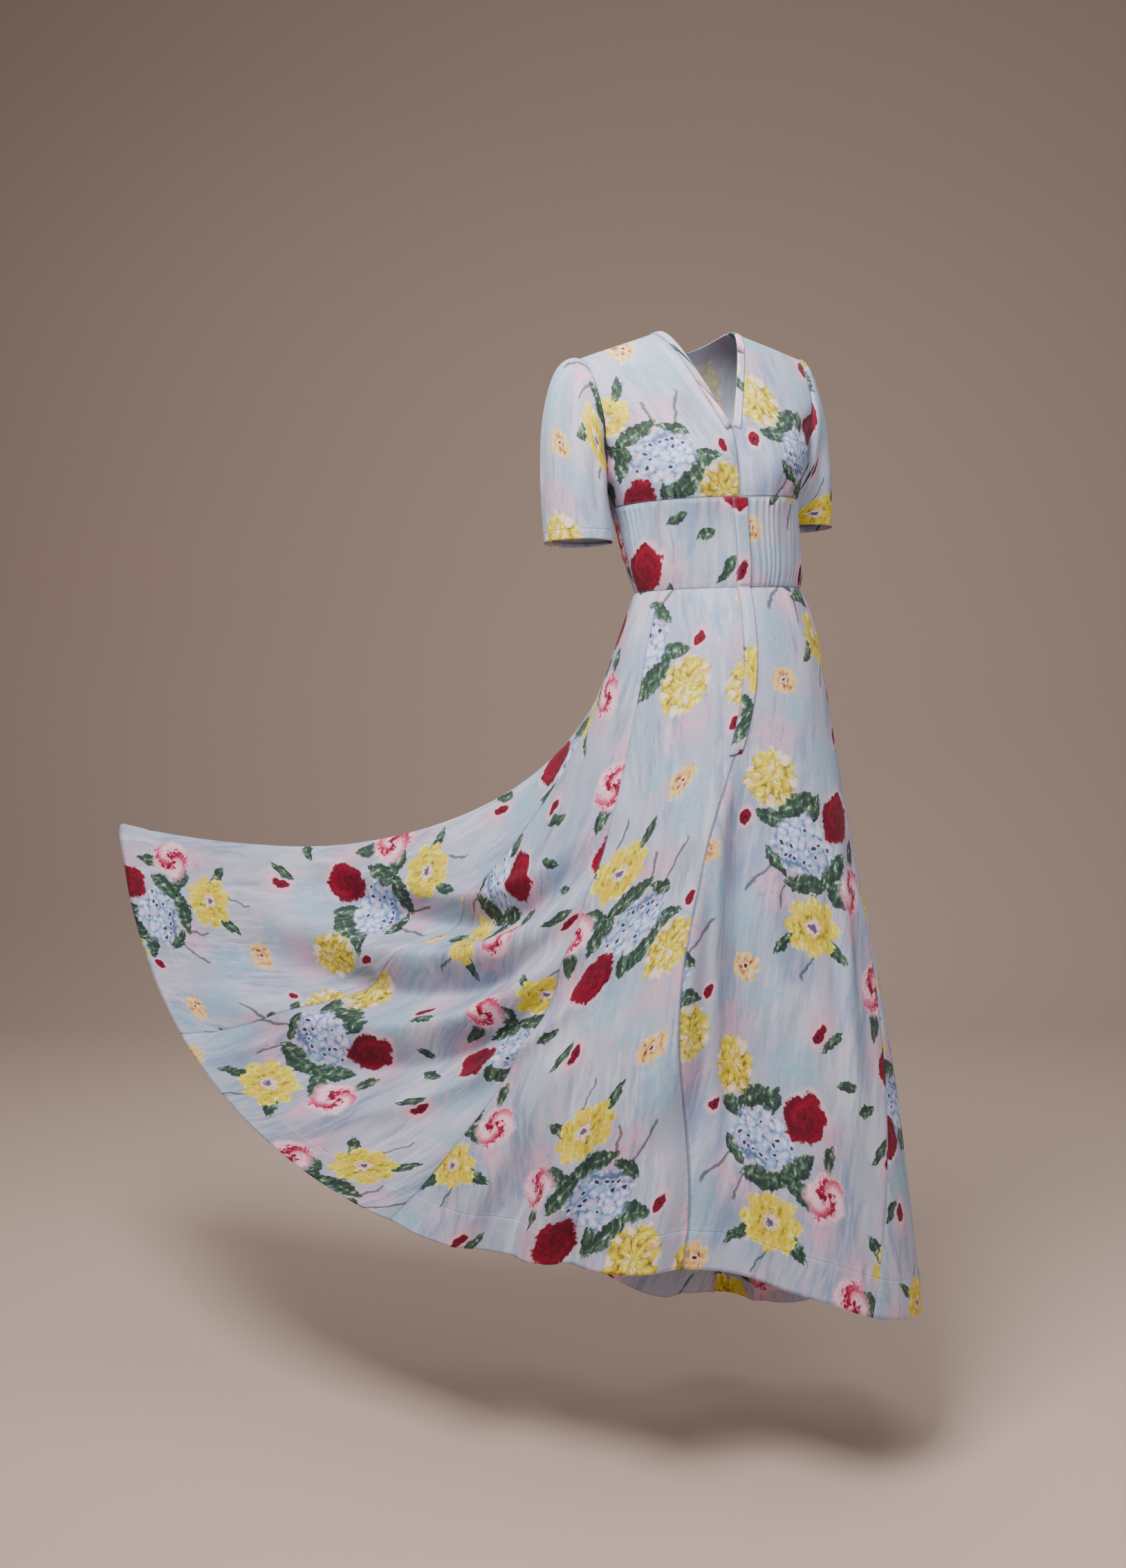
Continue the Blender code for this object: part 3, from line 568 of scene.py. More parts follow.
def build_mesh(name, points, normal, across, down, seam, line, off_stitches):
    way, right, low, turn, wide, long, area = PIECES[name]
    columns = points.shape[1]
    cloth = bmesh.new()
    bmesh.ops.create_grid(cloth, x_segments=columns - 1, y_segments=len(points) - 1, size=1.0)
    for index, vert in enumerate(cloth.verts):
        vert.co = points[index // columns, index % columns]
    mesh = bpy.data.meshes.new(name)
    cloth.to_mesh(mesh)
    cloth.free()

    corner = np.empty(len(mesh.loops), dtype=np.int64)
    mesh.loops.foreach_get("vertex_index", corner)
    columns_over, repeats_down, sign = (0.5, 0.5, 1) if way == "upright" else (1.5, 1.0, -1)
    cosine, sine = math.cos(math.radians(turn)), math.sin(math.radians(turn))
    x, y = across - right, down - low
    u = x * cosine - y * sine + columns_over * COLUMN_WIDE - sign * BOUQUET_SHIFT
    v = x * sine + y * cosine + repeats_down * REPEAT
    flat = np.stack([u.ravel(), v.ravel()], axis=-1)
    layer = mesh.uv_layers.new(name="pattern")
    layer.data.foreach_set("uv", flat[corner].astype(np.float32).ravel())
    for label, grid in (("seam", seam), ("line", line), ("off_stitches", off_stitches)):
        attribute = mesh.attributes.new(label, "FLOAT", "POINT")
        attribute.data.foreach_set("value", np.ascontiguousarray(grid, dtype=np.float32).ravel())
    mesh.shade_smooth()

    piece = bpy.data.objects.new("cloth_" + name, mesh)
    bpy.context.collection.objects.link(piece)
    mesh.materials.append(MATERIALS["right side"])
    mesh.materials.append(MATERIALS["wrong side"])
    shell = piece.modifiers.new("shell", "SOLIDIFY")
    shell.thickness = SHELL
    shell.offset = -1.0
    shell.material_offset = 1
    shell.use_quality_normals = True
    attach(piece, "root")
    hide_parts(name)


def fold_lines(folds, across, down, scale):
    """Heights of straight folds that fade at their ends. scale turns the places in their rows to metres."""
    height = np.zeros(np.broadcast(across, down).shape)
    for row in folds:
        start, end = row[:2] * scale, row[2:4] * scale
        wide, depth = row[4:]
        length = np.hypot(*(end - start))
        way = (end - start) / length
        x, y = across - start[0], down - start[1]
        along = (x * way[0] + y * way[1]) / length
        off = x * way[1] - y * way[0]
        height = height + depth * there_and_back(along, -0.15, 0.35, 0.65, 1.15) * bell(off, wide)
    return height


def trunk_grid(bearings, roots, extra=0.0):
    """Points on the trunk, as the wearer stands, with the drape of the bodice and its outward direction."""

    def below_top(turn, root):
        return trunk(turn, np.maximum(root, 0.0))

    normal = -surface_normal(below_top, bearings, roots, TRUNK_STEP)
    drop = roots * roots
    off_front = (bearings + math.pi) % (2 * math.pi) - math.pi
    height = fold_lines(BODICE_FOLDS, off_front * TRUNK_GIRTH, drop, (math.radians(1) * TRUNK_GIRTH, 1))
    height = height + unevenness(bearings * TRUNK_GIRTH, drop, *TRUNK_WAVE)
    points = trunk(bearings, roots) + normal * (height + extra)[..., None]
    outward = points * np.array([1.0, 1.0, 0.0])
    return posed(points), posed(points + outward * 0.01) - posed(points)


def drops_to(foot, count):
    """Drops for the rows of a piece, closer at the top, with one more row just above its foot."""
    return np.unique([*np.linspace(0, math.sqrt(foot), count) ** 2, foot - 0.001])


def bodice_front(name, side):
    rows, columns, near = 56, 48, 0.008
    drops = drops_to(UNDERBUST, rows)
    start, end = bearing_of(neckline(drops), drops), armhole_edge(drops)
    bearings = start[:, None] + (end - start)[:, None] * denser_ends(columns, near)
    points, outward = trunk_grid(side * bearings, np.sqrt(drops)[:, None] + 0 * bearings)
    across = side * (flat_pattern(points, 0)[0] + neckline(drops)[:, None])
    down = drops[:, None] * BODICE_LONG + 0 * across
    add_cloth(name, points, outward, (across, down), ("top", "bottom", "end"), ("start", "bottom"))


def bodice_back():
    rows, columns, near = 72, 96, 0.004
    drops = drops_to(WAIST, rows)
    share = denser_ends(columns, near)
    bearings = math.pi - armhole_edge(drops)[:, None] * (2 * share - 1)
    half, squareness = down_table(TRUNK, 1, drops), down_table(TRUNK, 4, drops)
    from_middle = half[:, None] * np.abs(np.sin(bearings)) ** (2 / squareness[:, None])
    top = BACK_NECK * np.clip(1 - (from_middle / NECK_HALF) ** 2, 0.0, 1.0)
    lowered = drops[:, None] + top * (1 - drops[:, None] / WAIST)
    points, outward = trunk_grid(bearings, np.sqrt(lowered))
    across = flat_pattern(points, len(share) // 2)[0]
    add_cloth("bodice_back", points, outward, (-across, lowered * BACK_LONG), ("bottom", "start", "end"))


def midriff_front(name, side, count, gather, fade, rest):
    rows, columns_each, near = 34, 10, 0.012
    share = denser_ends(count * columns_each, near)
    down = denser_ends(rows, near)[:, None]
    drops = UNDERBUST + (WAIST - UNDERBUST) * down
    bearings = share * math.pi / 2 + 0 * drops
    phase = count * share + 0.60 * np.sin(7.3 * share) + 0.30 * np.sin(23.0 * share + 1.0)
    wander = 0.22 * np.sin(3.1 * down + 9.0 * share)
    uneven = 0.62 + 0.38 * np.sin(17.0 * share + 0.7) * np.sin(7.0 * share + 2.0)
    strength = gather * np.maximum(1 - down / fade, rest) * uneven
    ripple = 0.5 - 0.5 * np.cos(2 * math.pi * (phase + wander))
    ends = np.minimum(1.0, 8 * share) * np.minimum(1.0, 8 * (1 - share))
    raised = strength * ripple * ends * (0.35 + 0.65 * there_and_back(down, 0.0, 0.03, 0.97, 1.0))
    points, outward = trunk_grid(side * bearings, np.sqrt(drops) + 0 * bearings, raised)
    across = side * flat_pattern(points, 0)[0] * MIDRIFF_WIDE
    add_cloth(name, points, outward, (across, drops + 0 * across), ("top", "bottom", "end"))


def neck_band():
    """The band round the neckline, a low roll from edge to edge: from the foot of the V to the back."""
    front_count, back_count, rows, above_foot = 44, 20, 13, 0.002
    front = np.linspace(math.sqrt(NECK_V - above_foot), 0.0, front_count) ** 2
    back = np.linspace(0.0, math.sqrt(BACK_NECK), back_count)[1:] ** 2
    drop = np.concatenate([front, back])[:, None]
    behind = (np.arange(len(drop)) >= len(front))[:, None]
    width = np.linspace(0.0, 1.0, rows)
    across = NECK_BAND_WIDE * width
    turn = np.where(behind, math.pi / 2, math.atan2(NECK_HALF, NECK_V)) * np.minimum(1.0, drop / BACK_NECK)
    edge = np.where(behind, NECK_HALF * np.sqrt(np.maximum(1 - drop / BACK_NECK, 0.0)), neckline(drop))
    drops = drop + across * np.sin(turn)
    bearings = bearing_of(edge + across * np.cos(turn), drops)
    bearings = np.where(behind, math.pi - bearings, bearings)
    bearings = np.concatenate([bearings, 2 * math.pi - bearings[-2::-1]]).T
    roots = np.sqrt(np.concatenate([drops, drops[-2::-1]])).T
    roll = BAND_HEIGHT * (1 - np.abs(2 * width - 1) ** 6) - BAND_SUNK
    points, outward = trunk_grid(bearings, roots, roll[:, None] + 0 * bearings)
    pattern = (run_lengths(points, 1), run_lengths(points, 0))
    add_cloth("neck_band", points, outward, pattern, lined=("bottom",))


def front_lap():
    """The strip over the front opening: stitched down on its right side, folded on its left."""
    upper_rows, lower_rows, columns, top_gap = 40, 70, 17, 0.0005
    width = np.linspace(1.0, -1.0, columns)
    across = width * LAP_HALF
    drops = np.linspace(UNDERBUST + top_gap, WAIST, upper_rows)[:-1, None]
    bearings = np.arcsin(-across / down_table(TRUNK, 1, drops))
    side = smooth_step(-width, -1.0, -0.75) * (1 - smooth_step(-width, 0.90, 1.0) * 0.95)
    groove_deep, groove_wide = LAP_GROOVE
    groove = groove_deep * np.exp(-(((LAP_HALF - across - LAP_STITCH) / groove_wide) ** 2))
    profile = LAP_EDGE + LAP_HEIGHT * side - groove
    lift = LAP_LIFT * smooth_step(-width, -1.0, -0.5)
    upper, _ = trunk_grid(bearings, np.sqrt(drops) + 0 * bearings, profile + lift + 0 * bearings)

    fall = np.linspace(0.0, LAP_FOOT, lower_rows)[:, None]
    step = 0.005
    wide = np.linalg.norm(skirt(step + 0 * fall, fall) - skirt(-step + 0 * fall, fall), axis=-1)
    share = across * 2 * step / wide
    fall = fall + 0 * share
    foot = 1 - 0.7 * smooth_step(fall, LAP_FOOT - 0.012, LAP_FOOT)
    lower = skirt(share, fall) + surface_normal(skirt, share, fall, SKIRT_STEP) * (profile * foot)[..., None]
    points = np.concatenate([upper, lower])
    down = run_lengths(points, 0)[:, [columns // 2]] + UNDERBUST
    pattern = (-across + 0 * down, down + 0 * across)
    add_cloth("front_lap", points, np.array([-0.3, -1.0, 0.0]), pattern, lined=("start", "end"))


def armhole_ring(count):
    drops = np.linspace(0, math.sqrt(UNDERARM), count) ** 2
    bearings = armhole_edge(drops)
    front, back = (trunk(turn, np.sqrt(drops)) for turn in (bearings, math.pi - bearings))
    return np.concatenate([front, back[-2:0:-1]])


def sleeve(name, side, left, back, drop, cap):
    """A set-in sleeve: it springs out of the armhole and hangs to its hem, open at the underarm seam."""
    rows, ring_count, near = 64, 46, 0.006
    ring = posed((armhole_ring(ring_count) + np.array([SLEEVE_GAP, 0, 0])) * np.array([side, 1, 1]))
    steps = np.linalg.norm(np.diff(ring, axis=0, append=ring[:1]), axis=1)
    along = np.concatenate([[0], np.cumsum(steps)[:-1]]) / steps.sum()
    turn = 2 * math.pi * along
    under = (1 - np.cos(turn)) / 2
    spring_out = side * (cap * (1 - under) ** CAP_FADE + SIDE_SPRING * np.sin(math.pi * under))
    spring_up = CAP_RISE * (1 - under) ** 4 - UNDER_FALL * under**1.5
    spring = np.stack([spring_out, -SIDE_ROUND * np.sin(turn), spring_up], axis=-1)
    hem_left = left + side * SLEEVE_HEM_HALF[0] * np.cos(turn)
    hem = np.stack([hem_left, back - SLEEVE_HEM_HALF[1] * np.sin(turn), -drop + 0 * turn], axis=-1)
    straight = np.stack([0 * turn, 0 * turn, -(ring[:, 2] + drop) * SLEEVE_DROP_END], axis=-1)
    shares = denser_ends(rows, near, both=False)[:, None]
    outer = ease(shares[..., None], ring, spring, hem, straight)
    half = len(ring) // 2
    outer = np.concatenate([outer[:, half:], outer[:, : half + 1]], axis=1)
    around = np.concatenate([along[half:] - 1, along[: half + 1]])
    normal = normals_of(outer)
    centre = outer.mean(axis=1, keepdims=True)
    if (normal * (outer - centre)).sum() < 0:
        normal = -normal
    down = shares * SLEEVE_LENGTH
    scale = (SLEEVE_GIRTH, SLEEVE_LENGTH)
    for shift in (0.0, 1.0):
        height = fold_lines(SLEEVE_FOLDS, (around + shift) * SLEEVE_GIRTH, down, scale)
        outer = outer + normal * height[..., None]
    outer = outer + normal * unevenness(around * SLEEVE_GIRTH, down, *SLEEVE_WAVE)[..., None]
    across, down = flat_pattern(outer, len(around) // 2)
    add_cloth(name, outer, outer - centre, (-side * across, down), ("top",), hem=SLEEVE_HEM)


def skirt_gore(name, columns, lined, start, end):
    near, under_waist = 0.006, (0.0012, 0.003)
    fall = np.unique([*np.linspace(0, 1, SKIRT_ROWS + 1), *under_waist])[:, None]
    first, last = (seam[1] + (seam[0] - seam[1]) * (1 - fall) for seam in (start, end))
    share = first + (last - first) * denser_ends(columns, near)
    fall = fall + 0 * share
    points = skirt(share, fall)
    normal = surface_normal(skirt, share, fall, SKIRT_STEP)
    across, down = flat_pattern(points, share.shape[1] // 2)
    wave = unevenness(across, down * SKIRT_WAVE_DOWN, *SKIRT_WAVE) * smooth_step(fall, 0.0, 0.2)
    below = run_lengths(points, 0)
    above_hem = below[[-1]] - below - SKIRT_HEM
    ripple = np.sin(across * 260 + 2.4 * np.sin(across * 57) + 1.6 * np.sin(across * 23))
    pucker = PUCKER * ripple * np.exp(-((above_hem / PUCKER_REACH) ** 2))
    lift = HEM_LIFT * (1 - smooth_step(above_hem, -0.003, 0.002))
    points = points + normal * (wave + pucker + lift)[..., None]
    add_cloth(name, points, normal, (-across, down), ("top", "start", "end"), lined, SKIRT_HEM)


# Materials

def linear(colour):
    """A colour as seen on a screen, made linear."""
    return tuple(c / 12.92 if c <= 0.04045 else ((c + 0.055) / 1.055) ** 2.4 for c in colour)


class Nodes:
    """Short names for the shader nodes that the cloth is made of. Inputs are sockets or plain values."""

    def __init__(self, tree):
        self.tree = tree

    def fill(self, node, inputs):
        for key, value in inputs.items():
            if isinstance(value, bpy.types.NodeSocket):
                self.tree.links.new(value, node.inputs[key])
            else:
                node.inputs[key].default_value = value

    def new(self, kind, inputs=None, **settings):
        node = self.tree.nodes.new(kind)
        for key, value in settings.items():
            setattr(node, key, value)
        self.fill(node, inputs or {})
        return node

    def math(self, operation, *values):
        return self.new("ShaderNodeMath", dict(enumerate(values)), operation=operation).outputs[0]

    def times(self, product, *factors):
        for factor in factors:
            product = self.math("MULTIPLY", product, factor)
        return product

    def sum(self, *parts, plus=0.0):
        """A weighted sum of sockets."""
        total = plus
        for socket, weight in parts:
            total = self.math("MULTIPLY_ADD", socket, weight, total)
        return total

    def vector(self, operation, first, second=None):
        inputs = {0: first}
        if second is not None:
            inputs["Scale" if operation == "SCALE" else 1] = second
        node = self.new("ShaderNodeVectorMath", inputs, operation=operation)
        return node.outputs["Value" if operation == "LENGTH" else "Vector"]

    def split(self, vector):
        return self.new("ShaderNodeSeparateXYZ", {0: vector}).outputs[:2]

    def join(self, x, y, z=0.0):
        return self.new("ShaderNodeCombineXYZ", {0: x, 1: y, 2: z}).outputs[0]

    def mapping(self, kind, vector, place, turn, size):
        inputs = {"Vector": vector, "Location": (*place, 0), "Scale": (*size, 1)}
        inputs["Rotation"] = (0, 0, math.radians(turn))
        return self.new("ShaderNodeMapping", inputs, vector_type=kind).outputs[0]

    def placed(self, vector, place, turn, size):
        """Coordinates in the frame of a motif at a place, turned by degrees, with its half sizes as 1."""
        return self.mapping("TEXTURE", vector, place, turn, size)

    def scaled(self, vector, turn, size, shift=(0, 0)):
        """Coordinates turned by degrees and stretched."""
        return self.mapping("POINT", vector, shift, turn, size)

    def noise(self, vector, scale, detail, rough, twist=0.0, colour=False):
        inputs = {"Vector": vector, "Scale": scale, "Detail": detail, "Roughness": rough, "Distortion": twist}
        return self.new("ShaderNodeTexNoise", inputs, noise_dimensions="2D").outputs[1 if colour else 0]

    def strokes(self, vector, turn, size, detail, rough, twist=0.0, shift=(0, 0)):
        """Noise as strokes: turned by degrees, so many to the metre across and along."""
        return self.noise(self.scaled(vector, turn, size, shift), 1.0, detail, rough, twist)

    def cells(self, vector):
        node = self.new("ShaderNodeTexVoronoi", {"Vector": vector, "Scale": 1.0}, voronoi_dimensions="2D")
        return node.outputs["Distance"], node.outputs["Color"]

    def between(self, value, low, high, to_low=0.0, to_high=1.0):
        inputs = dict(enumerate((value, low, high, to_low, to_high)))
        return self.new("ShaderNodeMapRange", inputs, interpolation_type="SMOOTHSTEP").outputs[0]

    def ramp(self, value, stops):
        node = self.new("ShaderNodeValToRGB", {0: value})
        elements = node.color_ramp.elements
        while len(elements) < len(stops):
            elements.new(0.5)
        for element, (place, *colour) in zip(elements, stops):
            element.position = place
            element.color = (*linear(colour), 1.0)
        return node.outputs[0]

    def mix(self, share, first, second, blend="MIX"):
        inputs = {0: share, 6: first, 7: second}
        for key, value in inputs.items():
            if isinstance(value, tuple):
                inputs[key] = (*linear(value), 1.0)
        return self.new("ShaderNodeMix", inputs, data_type="RGBA", blend_type=blend).outputs[2]

    def tint(self, base, colour, value, low, high, most=1.0):
        """A colour mixed over the base, the more the closer the value is to high."""
        return self.mix(self.between(value, low, high, 0.0, most), base, colour)

    def attribute(self, name):
        return self.new("ShaderNodeAttribute", attribute_name=name).outputs["Fac"]

    def bump(self, height, strength, distance, **others):
        inputs = {"Height": height, "Strength": strength, "Distance": distance, **others}
        return self.new("ShaderNodeBump", inputs).outputs[0]


# Colours by the value that picks them: value, red, green and blue
GROUND = in_units(
    PER_CENT, (26, 54, 58, 67), (38, 61, 64, 72), (47, 68, 69, 77),
    (54, 66, 67, 75), (62, 71, 72, 80), (74, 78, 79, 86),
)
CRIMSON = in_units(
    PER_CENT, (0, 16, 0, 6), (22, 50, 0, 14), (45, 33, 0, 10),
    (66, 54, 0, 15), (86, 40, 0, 11), (100, 58, 10, 24),
)
PINK = in_units(
    PER_CENT, (0, 44, 3, 13), (16, 66, 14, 28), (34, 85, 44, 56),
    (54, 90, 62, 71), (76, 94, 78, 83), (100, 90, 66, 73),
)
YELLOW = in_units(
    PER_CENT, (0, 93, 89, 56), (26, 86, 79, 24), (56, 79, 69, 15), (78, 60, 51, 16), (100, 38, 35, 18)
)
PEACH = in_units(PER_CENT, (0, 42, 22, 18), (18, 72, 46, 28), (45, 88, 70, 44), (100, 92, 84, 60))
FLORETS = in_units(
    PER_CENT, (0, 90, 90, 95), (30, 80, 82, 93), (55, 66, 74, 88), (78, 48, 56, 74), (100, 32, 40, 56)
)
LEAF = in_units(PER_CENT, (0, 7, 14, 10), (40, 15, 26, 18), (70, 33, 44, 34), (100, 70, 77, 68))
WASHES = {"pink wash": (0.86, 0.62, 0.71), "aqua wash": (0.50, 0.69, 0.78)}

# Patches of strokes on the ground
STROKES = (
    # turn, strokes per metre across and along, shift, patches per metre across and along, strength, colour
    (8, (74, 9), (5, 2), (10, 5), 0.42, (0.85, 0.86, 0.91)),
    (24, (60, 10), (11, 5), (11, 7), 0.58, (0.44, 0.54, 0.70)),
    (-20, (64, 9), (3, 8), (9, 6), 0.44, (0.52, 0.63, 0.72)),
    (2, (96, 9), (17, 3), (12, 5), 0.44, (0.43, 0.46, 0.55)),
    (-9, (66, 11), (7, 13), (9, 7), 0.38, (0.84, 0.71, 0.78)),
)

# One bouquet. Its motifs are drawn in this order, placed from the middle of its hydrangea
COLUMN_WIDE = 0.240
BOUQUET_SHIFT = 0.012     # how far left of its column's middle the hydrangea is
REPEAT = 0.395
MOTIFS = (
    # kind, and for each motif: x to the right and y up in mm, turn in degrees, half width and height in mm
    ("pink wash", (-66, 140, 8, 52, 40), (-30, -64, -12, 48, 44), (90, 40, 20, 38, 50)),
    ("pink wash", (96, -82, 20, 34, 40), (60, 168, 60, 40, 26)),
    ("aqua wash", (34, 112, 14, 50, 50), (-70, -120, 6, 40, 70), (-20, 190, 40, 60, 30)),
    ("stem", (-56, -52, 52, 36, 2.4), (-24, -72, 82, 24, 2.4), (30, -154, 66, 26, 2)),
    ("leaf", (-20, 50, 34, 36, 17), (-52, 26, -14, 28, 13), (8, 50, 78, 26, 12), (10, -50, 8, 40, 16)),
    ("leaf", (52, -22, 48, 34, 16), (66, -52, -30, 32, 15), (-38, -30, -46, 26, 11)),
    ("leaf", (68, -120, -34, 30, 10), (-8, -132, 52, 26, 9), (96, 0, 84, 28, 11)),
    ("hydrangea", (0, 0, 0, 49, 39)),
    ("yellow daisy", (30, -102, 10, 44, 40)),
    ("dahlia", (-62, 80, 0, 38, 41)),
    ("pink rose", (98, -42, 0, 29, 32)),
    ("crimson rose", (56, 46, -24, 30, 35)),
    ("bud", (-88, 22, 74, 10, 7.5), (62, 160, 72, 16, 7.5)),
    ("leaf", (82, 156, 52, 26, 8)),
    ("peach daisy", (-56, -178, 0, 22, 21)),
    ("leaf", (112, 110, 20, 18, 8.5)),
)


def print_group():
    """The print as a node group: flat pattern in metres in, colour out."""
    tree = bpy.data.node_groups.new("floral print", "ShaderNodeTree")
    tree.interface.new_socket("Pattern", in_out="INPUT", socket_type="NodeSocketVector")
    tree.interface.new_socket("Color", in_out="OUTPUT", socket_type="NodeSocketColor")
    n = Nodes(tree)
    pattern = n.new("NodeGroupInput").outputs[0]

    wobble = n.vector("SUBTRACT", n.noise(pattern, 46.0, 2.0, 0.6, colour=True), (0.5, 0.5, 0.5))
    straight, brushed = (n.vector("ADD", pattern, n.vector("SCALE", wobble, size)) for size in (0.005, 0.012))

    # Ground: an even pale blue, with patches of longer strokes in several directions
    broad = n.noise(pattern, 7.0, 2.0, 0.5)
    soft = n.strokes(straight, 6, (40, 7), 3.0, 0.55, 0.2)
    thin = n.strokes(straight, -3, (190, 15), 3.0, 0.6, 0.1, (4, 6))
    colour = n.ramp(n.sum((soft, 0.44), (thin, 0.22), (broad, 0.34)), GROUND)
    for turn, size, shift, patch, strength, tint in STROKES:
        strokes = n.strokes(straight, turn, size, 4.0, 0.62, 0.1, shift)
        where = n.strokes(pattern, turn, patch, 1.0, 0.5, 0.0, shift)
        mask = n.times(n.between(strokes, 0.44, 0.60), n.between(where, 0.50, 0.62), strength)
        colour = n.mix(mask, colour, tint)

    # The bouquet's own frame: columns of bouquets, every second one half a repeat lower and turned round
    x, y = n.split(brushed)
    place = n.math("DIVIDE", x, COLUMN_WIDE)
    odd = n.math("FLOORED_MODULO", n.math("FLOOR", place), 2.0)
    low = n.sum((y, 1 / REPEAT), (odd, 0.5))
    sign = n.math("MULTIPLY_ADD", odd, -2.0, 1.0)
    x, y = (
        n.times(n.math("SUBTRACT", n.math("FRACT", share), 0.5), n.times(sign, size))
        for share, size in ((place, COLUMN_WIDE), (low, -REPEAT))
    )
    bouquet = n.join(n.math("ADD", x, BOUQUET_SHIFT), y)

    streak = n.strokes(brushed, 18, (150, 60), 3.0, 0.6)
    dab = n.math("SUBTRACT", n.noise(pattern, 165.0, 2.0, 0.55), 0.5)
    for kind, *motifs in MOTIFS:
        for right, up, turn, wide, tall in motifs:
            local = n.placed(bouquet, (right / MM, up / MM), turn, (wide / MM, tall / MM))
            colour = paint(n, kind, colour, local, streak, dab)
    n.new("NodeGroupOutput", {0: colour})
    return tree


